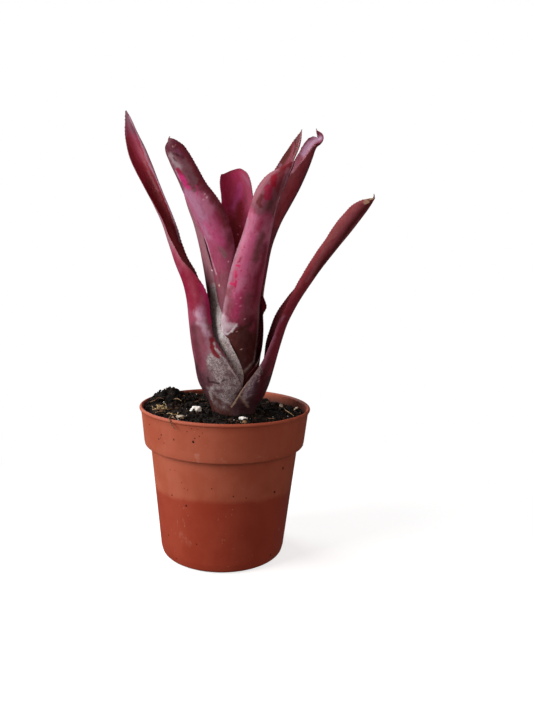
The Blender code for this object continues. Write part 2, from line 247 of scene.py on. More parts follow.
def settle(piece):                            # the object's own place and turn go into its mesh
    piece.data.transform(piece.matrix_world)
    piece.matrix_world = Matrix.Identity(4)


def joined(pieces):
    pickOnly(*pieces)
    bpy.ops.object.join()
    return bpy.context.object


def ball(subdivisions):
    bpy.ops.mesh.primitive_ico_sphere_add(subdivisions=subdivisions, radius=1)
    return bpy.context.object


def turnedSolid(profile, steps):              # rings extruded one by one along a (radius, height) profile
    radius, height = profile[0]
    bpy.ops.mesh.primitive_circle_add(vertices=steps, radius=radius * mm, fill_type="TRIFAN",
                                      location=(0, 0, height * mm))
    piece = bpy.context.object
    settle(piece)
    bpy.ops.object.mode_set(mode="EDIT")
    bpy.ops.mesh.select_mode(type="EDGE")
    rings = bmesh.from_edit_mesh(piece.data)
    for edge in rings.edges:
        edge.select = edge.is_boundary
    rings.select_flush_mode()
    bmesh.update_edit_mesh(piece.data)
    for nextRadius, nextHeight in profile[1:]:
        bpy.ops.mesh.extrude_region_move(TRANSFORM_OT_translate=dict(value=(0, 0, (nextHeight - height) * mm)))
        size = nextRadius / radius
        bpy.ops.transform.resize(value=(size, size, 1), center_override=(0, 0, 0))
        radius, height = nextRadius, nextHeight
    bpy.ops.mesh.merge(type="CENTER")
    bpy.ops.mesh.select_all(action="SELECT")
    bpy.ops.mesh.normals_make_consistent(inside=False)
    bpy.ops.object.mode_set(mode="OBJECT")
    return piece


def arc(centre, radius, start, end, count):
    return [(centre[0] + radius * math.cos(math.radians(a)), centre[1] + radius * math.sin(math.radians(a)))
            for a in np.linspace(start, end, count)]


def smoothed(value):
    value = np.clip(value, 0, 1)
    return value * value * (3 - 2 * value)


# leaves: each row is one section, from base to tip: height above the soil, reach from the plant's axis,
# azimuth of its middle line, azimuth its back faces, half its width, radius of its channel

leafForms = {
    "leaf_far_right": dict(free=60, rows=[
        (-3, 11.4, 345, 345, 18.5, 11.4), (3, 13, 345, 345, 20.5, 13), (10, 17.3, 345, 345, 21.5, 16.1),
        (18, 20.4, 346, 346, 20.5, 17.3), (31, 24.2, 346, 355, 14.8, 12.5), (44, 27.3, 346, 368, 12, 8.6),
        (56, 31, 346, 370, 10.8, 7.3), (68, 36.8, 346, 362, 9.8, 6.6), (79, 43.4, 347, 350, 9.4, 6.1),
        (92, 51.8, 348, 341, 9.3, 6.2), (104, 60.3, 349, 337, 9.8, 6.6), (114, 67.6, 350, 335, 10.3, 6.9),
        (122, 73.6, 350, 335, 9, 6.6), (127, 77.2, 350, 335, 5, 5.5), (130, 79, 350, 335, .5, 4)]),
    "leaf_far_left": dict(free=60, rows=[
        (-3, 13.2, 205, 205, 17.5, 10.6), (3, 14.8, 204, 205, 19.5, 12.2), (10, 17.8, 202, 206, 21.6, 15.2),
        (17, 21.6, 201, 207, 29.2, 18.1), (32, 25, 199, 207, 23.4, 16.3), (44, 27.3, 195, 205, 17, 12),
        (56, 28.8, 192, 202, 16.6, 12), (68, 30.3, 188, 193, 17.2, 12.6), (79, 33.3, 182, 177, 14.8, 11.2),
        (91, 38.4, 177, 162, 9.8, 7), (101, 42.2, 173, 151, 7.6, 5.2), (111, 45.2, 171, 134, 6.6, 4.2),
        (125, 50.9, 168, 108, 6.4, 3.9), (137, 56.3, 167, 92, 7.2, 4.6), (149, 61.2, 167, 80, 8.5, 5.4),
        (160, 65.8, 167, 70, 7.5, 5.4), (170, 69.5, 168, 62, 4.5, 4.5), (181, 73.3, 168, 60, .5, 4)]),
    "leaf_left_behind": dict(free=90, rows=[
        (1, 8.6, 185, 185, 16, 8.6), (8, 11.5, 185, 185, 20, 11.5), (18, 14.9, 185, 185, 27, 14.9),
        (24, 15.1, 184, 188, 27, 15.1), (33, 15.3, 184, 190, 24, 15.3), (44, 15.8, 181, 191, 18.6, 15.6),
        (55, 16.6, 177, 190, 15.8, 14.7), (69, 18.2, 172, 186, 14.6, 12.4), (80, 20.4, 168, 180, 12.2, 10.8),
        (98, 24.8, 162, 170, 11, 9.6), (113, 29.4, 160, 166, 10.5, 9.2), (126, 34.2, 160, 162, 9, 9),
        (138, 37.2, 161, 160, 7, 8), (147, 38.5, 161, 160, .5, 6)]),
    "leaf_right_hooked": dict(free=90, rows=[
        (3.5, 8.2, 45, 45, 14, 8.2), (10, 10.9, 45, 45, 19, 10.9), (18, 13.4, 45, 45, 26, 13.4),
        (24, 13.6, 45, 45, 24.5, 13.6), (29, 13.7, 44, 45, 19.5, 13.7), (37, 13.9, 43, 45, 14, 13.9),
        (50, 14.1, 40, 44, 11.3, 13.8), (69, 14.2, 34, 42, 10.7, 12.2), (92, 17.2, 23, 34, 11, 10.2),
        (104, 20.2, 19, 26, 11.4, 9.3), (115, 24.6, 16, 18, 12, 8.9), (127, 31, 14, 10, 12.2, 8.5),
        (137, 36.1, 13, 8, 12.4, 8.4), (147, 40.2, 13, 13, 12.2, 8), (155, 42.6, 12, 25, 9.8, 6.6),
        (162, 44.8, 12, 36, 7, 5), (167, 48.4, 11, 42, 3.2, 4), (171, 45.4, 11, 45, .5, 4)]),
    "leaf_front": dict(free=70, rows=[
        (6, 7.8, 294, 294, 12, 7.8), (12, 9.9, 294, 294, 15, 9.9), (18, 11.9, 294, 294, 17.5, 11.9),
        (22, 12, 294, 294, 17.5, 12), (37, 12.1, 294, 295, 17.3, 12.1), (50, 13.7, 295, 298, 16.8, 12.8),
        (58, 15.2, 296, 301, 16.4, 13.1), (69, 16.9, 297, 304, 15.2, 12.6), (81, 19.2, 299, 303, 14.8, 11.7),
        (92, 21.5, 301, 301, 13.7, 10.5), (106, 25.4, 302, 295, 11.2, 8.7), (119, 30, 302, 291, 10.2, 8),
        (128, 33.7, 302, 289, 9, 7.4), (134, 37.2, 304, 288, 6.7, 7), (139, 41.3, 307, 288, 3.6, 6.4),
        (143, 44.8, 310, 288, 1.5, 6), (145, 46.2, 311, 288, .5, 5)]),
    "leaf_left_broad": dict(free=70, rows=[
        (8.5, 7.3, 240, 240, 11, 7.3), (13, 8.9, 240, 240, 13.5, 8.9), (18, 10.6, 240, 240, 15.3, 10.6),
        (22, 10.6, 240, 240, 15, 10.6), (37, 10.7, 240, 240, 14.3, 10.7), (52, 12.2, 243, 243, 12, 11.6),
        (69, 13.8, 245, 246, 9.4, 12), (86, 16.2, 239, 247, 9.5, 10.6), (95, 18.4, 236, 247, 10, 10),
        (104, 21.1, 232, 246, 10.8, 10.1), (113, 24.7, 227, 244, 12, 11.2), (120, 28.4, 223, 241, 11.6, 10.8),
        (129, 33.2, 218, 238, 10, 9.4), (140, 39.2, 215, 236, 9.5, 8.4), (148, 43.2, 213, 235, 8.4, 7.6),
        (152, 45, 212.5, 235, 7.3, 7), (155, 45.9, 212.5, 235, 5, 6.4), (156.6, 46.1, 212.5, 235, 2.8, 6),
        (157.2, 46.1, 212.5, 235, .5, 5)]),
    "leaf_back_right": dict(free=90, rows=[
        (11, 6.9, 75, 75, 9, 6.9), (14.5, 8, 75, 75, 11, 8), (18, 9.1, 75, 75, 12.5, 9.1),
        (22, 9.2, 75, 75, 12.5, 9.2), (37, 9.4, 74, 75, 11.5, 9.4), (69, 10, 70, 72, 9.5, 10),
        (86, 10.5, 64, 67, 8, 10), (100, 12.2, 56, 62, 7.6, 9.6), (110, 14.8, 50, 58, 7.8, 9.2),
        (121, 18.4, 46, 55, 8.4, 8.8), (134, 24.8, 42, 50, 8.2, 8), (146, 31.6, 39, 50, 6.4, 7),
        (157, 37.4, 37, 50, 5.2, 6), (166, 41.2, 35, 50, 3.7, 5), (174, 43.6, 34, 50, .5, 4)]),
    "leaf_heart": dict(free=90, rows=[
        (13.5, 6.2, 120, 120, 8, 6.2), (16, 6.9, 120, 120, 9.5, 6.9), (18, 7.7, 120, 120, 10.2, 7.7),
        (22, 7.8, 120, 120, 10.2, 7.8), (37, 7.9, 118, 120, 10.2, 7.9), (69, 8.3, 112, 112, 10.5, 8.6),
        (93, 8.9, 104, 102, 10.6, 11), (117, 11.5, 101, 98, 11.2, 12), (132, 13.5, 103, 98, 10.9, 12.5),
        (139, 14.6, 107, 98, 10.6, 12), (142.6, 15.2, 110, 98, 9.8, 11.5), (144.8, 15.5, 112, 98, 8.4, 11),
        (146.2, 15.8, 113, 98, 6.4, 9.5), (147, 16, 114, 98, 3.8, 8), (147.4, 16.1, 114.5, 98, .5, 8)]),
}

crown = Vector((6, 0, 88.5))                  # the plant's axis at the soil
leafCut = dict(
    columns=44, rows=280, crowding=1.25,      # the strips of a blade get narrower toward its margins
    sheathShare=0.35, leastWidth=0.3, leastChannel=2.0,
    thickness=0.9, rimShare=0.45, rimFrom=0.72, thinTip=9,
    calmFrom=22, calmBelow=60, calmWave=0.35, calmDent=0.12,      # calmer margins and dents near the soil
    tooth=0.34, toothEvery=3, toothless=4, wave=0.25, waveLength=9, dent=0.22, dentLength=16,
)

# a margin that stands out from the plant or reaches further round it: side, height from, peak, to, millimetres
# and the share of the half width that moves; a tip cut slantwise: side, length of the cut, drop
marginOut = {
    "leaf_right_hooked": [(-1, 18, 46, 80, 1.5, 0.5), (-1, 60, 66, 74, 2.4, 0.22)],
    "leaf_left_behind": [(1, 24, 56, 92, 0.8, 0.9)],
    "leaf_far_left": [(1, 34, 58, 86, -2.4, 0.5)],
}
marginRound = {
    "leaf_right_hooked": [(-1, 108, 134, 154, 1.8)],
    "leaf_front": [(1, 112, 131, 143, 0.9)],
}
tipSlant = {"leaf_left_broad": (-1, 11, 3.2)}
# the thin spine at a tip: its radii and steps from the tip
spines = {
    "leaf_left_broad": (
        (0.55, 0.4, 0.3, 0.2), [(0.2, 0, -1.0), (0.1, 0, 0.2), (0.3, -0.2, 1.0), (0.9, -0.3, 2.1)]),
    "leaf_back_right": (
        (0.4, 0.35, 0.28, 0.2), [(-0.1, 0, -1.6), (0.05, 0, -0.3), (0, -0.1, 0.5), (0.4, -0.1, 1.2)]),
    "leaf_right_hooked": (
        (0.45, 0.35, 0.28, 0.2), [(0.3, 0, -1.4), (0.1, 0, -0.3), (-0.1, 0, 0.5), (-0.35, 0, 1.3)]),
    "leaf_far_right": (
        (0.5, 0.42, 0.35, 0.2), [(-1.0, 0, -0.9), (-0.6, 0, 0.2), (-0.5, -0.1, 1.0), (-0.75, -0.1, 2.0)]),
}


def eased(free, start):
    return start + (1 - start) * free


def bulge(height, low, peak, high):
    return smoothed((height - low) / (peak - low)) * smoothed((high - height) / (high - peak))


def smoothRows(rows, samples):
    table = np.array(rows, float)
    azimuth, facing = np.radians(table[:, 2]), np.radians(table[:, 3])
    middle = np.stack([table[:, 1] * np.cos(azimuth), table[:, 1] * np.sin(azimuth), table[:, 0]], 1)
    values = np.column_stack([middle, facing, table[:, 4], table[:, 5]])
    length = np.concatenate([[0.0], np.cumsum(np.linalg.norm(np.diff(middle, axis=0), axis=1))])
    slope = np.gradient(values, length, axis=0)
    result = []
    for along in np.linspace(0.0, length[-1], samples):
        i = min(int(np.searchsorted(length, along, side="right")) - 1, len(length) - 2)
        step = length[i + 1] - length[i]
        t = (along - length[i]) / step
        result.append((2 * t ** 3 - 3 * t ** 2 + 1) * values[i] + (t ** 3 - 2 * t ** 2 + t) * step * slope[i]
                      + (3 * t ** 2 - 2 * t ** 3) * values[i + 1] + (t ** 3 - t ** 2) * step * slope[i + 1])
    return np.array(result)


def leafSections(form, samples):              # middle point, sideways, backwards, half width, channel radius
    curve = smoothRows(form["rows"], samples)
    along = np.gradient(curve[:, :3], axis=0)
    sections = []
    for row, direction in zip(curve, along):
        # a sheath has level sections, a free blade has sections across its own direction
        upright = smoothed((row[2] - leafCut["sheathShare"] * form["free"])
                           / ((1 - leafCut["sheathShare"]) * form["free"]))
        tangent = Vector((0, 0, 1)).lerp(Vector(direction).normalized(), upright).normalized()
        back = Vector((math.cos(row[3]), math.sin(row[3]), 0.0))
        back = (back - tangent * back.dot(tangent)).normalized()
        halfWidth, channel = max(row[4], leafCut["leastWidth"]), max(row[5], leafCut["leastChannel"])
        sections.append((row[:3], tangent.cross(back), back, halfWidth, channel))
    return [np.array(part, float) for part in zip(*sections)]


def margin(sheet, end):                       # the last column on a side and its way outwards
    edge = -1 if end > 0 else 0
    direction = sheet[:, edge] - sheet[:, edge - end]
    return edge, direction / (np.linalg.norm(direction, axis=1, keepdims=True) + 1e-9)


def moveMargin(sheet, direction, amount, across, end):      # the strips beside it follow
    wide = np.clip((across * end - 0.55) / 0.45, 0, 1) ** 1.5
    sheet += (direction * amount[:, None])[:, None, :] * wide[None, :, None]


def leafSheet(node, form, across, samples):   # the blade's middle surface, rows by columns, and its layout
    middle, side, back, halfWidth, channel = leafSections(form, samples)
    turn = across[None, :] * (halfWidth / channel)[:, None]
    sideways = (channel[:, None] * np.sin(turn))[:, :, None] * side[:, None, :]
    backwards = (channel[:, None] * (1 - np.cos(turn)))[:, :, None] * back[:, None, :]
    sheet = middle[:, None, :] + sideways - backwards
    normal = back[:, None, :] * np.cos(turn)[:, :, None] + side[:, None, :] * np.sin(turn)[:, :, None]
    height = sheet[:, :, 2].mean(axis=1)
    length = np.concatenate([[0], np.cumsum(np.linalg.norm(np.diff(middle, axis=0), axis=1))])
    for end, low, peak, high, amount in marginRound.get(node, []):
        moveMargin(sheet, margin(sheet, end)[1], bulge(height, low, peak, high) * amount, across, end)
    for end, low, peak, high, amount, share in marginOut.get(node, []):
        wide = np.clip((across * end - 1 + share) / share, 0, 1) ** 1.6
        sheet += normal * (bulge(height, low, peak, high)[:, None] * wide[None, :] * amount)[:, :, None]
    if node in tipSlant:
        end, cut, drop = tipSlant[node]
        near = smoothed(1 - (length[-1] - length) / cut)
        sheet[:, :, 2] -= drop * near[:, None] * ((1 + across * end) / 2)[None, :] ** 1.4
    return sheet, normal, height, length, halfWidth


def paint(mesh, name, values, kind="FLOAT"):
    layer = mesh.attributes.new(name, kind, "POINT")
    layer.data.foreach_set("vector" if kind == "FLOAT_VECTOR" else "value", np.ravel(values).astype(np.float32))


def makeLeaf(node, form, seed):
    columns, rows = leafCut["columns"], leafCut["rows"]
    bpy.ops.mesh.primitive_grid_add(x_subdivisions=columns, y_subdivisions=rows, size=2)
    blade = bpy.context.object
    count = len(blade.data.vertices)
    flat = np.empty(count * 3)
    blade.data.vertices.foreach_get("co", flat)
    flat = flat.reshape(-1, 3)
    column = np.rint((flat[:, 0] + 1) / 2 * columns).astype(int)
    row = np.rint((flat[:, 1] + 1) / 2 * rows).astype(int)

    across = np.linspace(-1, 1, columns + 1)
    across = np.sign(across) * (1 - (1 - abs(across)) ** leafCut["crowding"])
    sheet, normal, height, length, halfWidth = leafSheet(node, form, across, rows + 1)
    rng = random.Random(seed)
    free = smoothed((height - leafCut["calmFrom"]) / (leafCut["calmBelow"] - leafCut["calmFrom"]))
    for end in (-1, 1):
        edge, direction = margin(sheet, end)
        wave = np.array([noise.noise(Vector((s / leafCut["waveLength"], seed + end * 7.7, 0))) for s in length])
        tooth = np.array([0 if i % leafCut["toothEvery"] else rng.uniform(0.25, 1.0) for i in range(rows + 1)])
        tooth[:leafCut["toothless"]] = tooth[-leafCut["toothless"]:] = 0
        moveMargin(sheet, direction, leafCut["wave"] * wave * free, across, end)
        sheet[:, edge] += direction * (tooth * leafCut["tooth"] * eased(free, leafCut["calmWave"]))[:, None]
    for i in range(rows + 1):
        for j in range(columns + 1):
            spot = Vector(sheet[i, j]) / leafCut["dentLength"] + Vector((seed * 3.1, 0, 0))
            dent = leafCut["dent"] * noise.noise(spot) * eased(free[i], leafCut["calmDent"])
            sheet[i, j] += normal[i, j] * dent
    world = (sheet[row, column] + np.array(crown)) * mm
    blade.data.vertices.foreach_set("co", world.ravel())

    thin = blade.vertex_groups.new(name="thin")
    rim = np.clip((abs(across) - leafCut["rimFrom"]) / (1 - leafCut["rimFrom"]), 0, 1) ** 1.5
    taper = 1 - (1 - leafCut["rimShare"]) * rim
    tip = np.clip((length[-1] - length) / leafCut["thinTip"], 0.25, 1)
    weight = taper[column] * tip[row]
    for step in np.unique(np.round(weight, 2)):
        chosen = np.where(np.round(weight, 2) == step)[0]
        thin.add([int(v) for v in chosen], float(step), "REPLACE")
    body = blade.modifiers.new("thickness", "SOLIDIFY")
    body.thickness = leafCut["thickness"] * mm
    body.offset = 0
    body.vertex_group = "thin"
    applyAll(blade)
    blade.vertex_groups.clear()
    return blade, dict(row=np.tile(row, 2), column=np.tile(column, 2), across=across, height=height,
                       length=length, halfWidth=halfWidth, count=count, tip=sheet[-1].mean(axis=0))


# leaf colours: screen red, green, blue, and how much pale scurf lies on them, if any

leafTones = dict(
    ash=(168, 152, 156, .9), ashBrown=(124, 102, 100, .75), ashMauve=(158, 118, 132, .25),
    ashOlive=(132, 116, 108, .6), blackBrown=(40, 20, 20), bloodBright=(146, 22, 36), bloodRed=(138, 16, 26),
    brownDark=(92, 52, 46, .1), brownDeep=(104, 44, 42), brownMauve=(122, 72, 82), brownOlive=(114, 60, 62),
    brownRed=(126, 46, 54), carmine=(152, 28, 64), chalk=(212, 206, 202, 1), cream=(226, 208, 170),
    crimson=(136, 14, 48), crimsonDark=(146, 20, 42), crimsonDeep=(116, 26, 48), crimsonHot=(150, 34, 64),
    crimsonRed=(140, 30, 44), crimsonRose=(158, 46, 80), darkBrownRed=(82, 28, 32), darkRed=(120, 16, 28),
    deepRose=(134, 42, 64), deepWine=(70, 20, 32), dustyMauve=(148, 88, 100), dustyPink=(150, 72, 92),
    dustyRose=(132, 66, 80), dustyWine=(126, 54, 70), fanLilac=(182, 162, 170, .5), fanPale=(214, 204, 208, .6),
    filmBright=(186, 178, 180, .95), filmBrown=(118, 102, 100, .8), filmEarth=(84, 58, 56, .45),
    filmGrey=(158, 142, 142, .85), filmMauve=(104, 80, 84, .65), filmOlive=(140, 126, 106, .3),
    filmPale=(158, 140, 140, .9), filmViolet=(92, 70, 84, .7), greyBloom=(158, 130, 136, .1),
    greyMauve=(152, 106, 122), hotPink=(202, 46, 116), hotRed=(184, 28, 84), lilac=(158, 124, 148),
    magenta=(150, 22, 62), magentaDusk=(146, 40, 66), magentaHeart=(146, 28, 74), magentaHot=(170, 24, 84),
    marginCream=(176, 164, 142), mauve=(182, 118, 146), mauveDusk=(134, 82, 108), mauveMagenta=(168, 76, 116),
    olive=(152, 142, 116, .3), paleMauve=(192, 148, 166), paleOlive=(150, 136, 124, .4),
    paleSpeck=(226, 180, 184), pink=(176, 84, 116), pinkMauve=(182, 104, 132), plum=(104, 46, 64),
    plumMauve=(120, 56, 82), plumPink=(140, 34, 78), purpleBloom=(100, 80, 104, .5),
    purpleBrown=(88, 48, 56, .1), redWine=(112, 22, 44), rose=(150, 60, 84), roseBrown=(148, 88, 102),
    roseDusk=(136, 76, 90), roseDust=(134, 70, 72, .05), roseGrey=(176, 122, 138, .1), rosePink=(160, 66, 96),
    roseRed=(146, 46, 72), roseRose=(156, 76, 86), rust=(128, 56, 50), scarBrown=(106, 42, 46),
    scuff=(126, 92, 92, .3), sheathBrown=(74, 34, 30), sheathPurple=(66, 44, 50, .15),
    tanBrown=(88, 58, 54, .3), tanPink=(182, 124, 122), vividPink=(190, 78, 122), vividRose=(178, 52, 104),
    wine=(116, 34, 52), wineBrown=(92, 34, 46), wineDark=(62, 26, 34, .1), wineTop=(98, 32, 50),
    marginLine=(88, 38, 42),
)

# the colour along each face, as (height, tone)
leafAlong = {
    "leaf_far_right": dict(outer=[
        (0, "sheathPurple"), (22, "sheathPurple"), (34, "wineBrown"), (60, "wine"), (92, "brownRed"),
        (112, "dustyRose"), (130, "brownRed"),
    ], inner=[
        (0, "wineBrown"), (40, "deepWine"), (90, "darkRed"), (130, "brownRed"),
    ]),
    "leaf_far_left": dict(outer=[
        (0, "sheathBrown"), (8, "tanBrown"), (20, "purpleBrown"), (36, "dustyWine"), (50, "dustyWine"),
        (58, "rose"), (68, "crimson"), (84, "crimson"), (94, "rose"), (104, "dustyMauve"), (140, "greyMauve"),
        (165, "greyMauve"), (175, "plum"),
    ], inner=[
        (20, "wineBrown"), (100, "darkRed"), (136, "darkRed"), (146, "crimsonDark"), (166, "roseRed"),
        (176, "plum"),
    ]),
    # this leaf's pale scurf strip is painted paler than its own colour, partly painted light where the far-left
    # leaf shades it
    "leaf_left_behind": dict(outer=[
        (20, "ashBrown"), (60, "ash"), (70, "brownMauve"), (134, "brownMauve"), (146, "wineBrown"),
    ], inner=[
        (20, "wineBrown"), (80, "deepWine"), (130, "wine"),
    ]),
    "leaf_right_hooked": dict(outer=[
        (20, "sheathBrown"), (60, "sheathBrown"), (80, "wineBrown"), (150, "wineBrown"), (168, "wine"),
    ], inner=[
        (20, "wineBrown"), (110, "darkRed"), (150, "roseDusk"), (168, "plum"),
    ]),
    "leaf_front": dict(outer=[
        (10, "sheathBrown"), (48, "sheathBrown"), (57, "dustyWine"), (68, "dustyRose"), (78, "rosePink"),
        (108, "pinkMauve"), (117, "rosePink"), (126, "brownMauve"), (133, "dustyRose"), (138, "brownRed"),
        (145, "scarBrown"),
    ], inner=[
        (20, "wineBrown"), (80, "darkRed"), (130, "crimsonDark"), (144, "brownRed"),
    ]),
    "leaf_left_broad": dict(outer=[
        (20, "sheathBrown"), (60, "brownMauve"), (78, "dustyRose"), (95, "rosePink"), (108, "pink"),
        (125, "pinkMauve"), (131, "pinkMauve"), (134, "brownMauve"), (148, "brownMauve"), (152, "wineTop"),
    ], inner=[
        (20, "wineBrown"), (90, "darkRed"), (135, "crimsonDark"), (156, "wineTop"),
    ]),
    "leaf_back_right": dict(outer=[
        (20, "wineBrown"), (90, "wine"), (140, "dustyRose"), (165, "brownMauve"), (174, "plum"),
    ], inner=[
        (20, "wineBrown"), (110, "darkRed"), (146, "brownRed"), (172, "brownMauve"),
    ]),
    "leaf_heart": dict(outer=[
        (20, "wineBrown"), (80, "wine"), (125, "rosePink"), (145, "rose"),
    ], inner=[
        (20, "wineBrown"), (70, "darkRed"), (112, "darkRed"), (128, "crimsonRose"), (144, "magentaDusk"),
    ]),
}
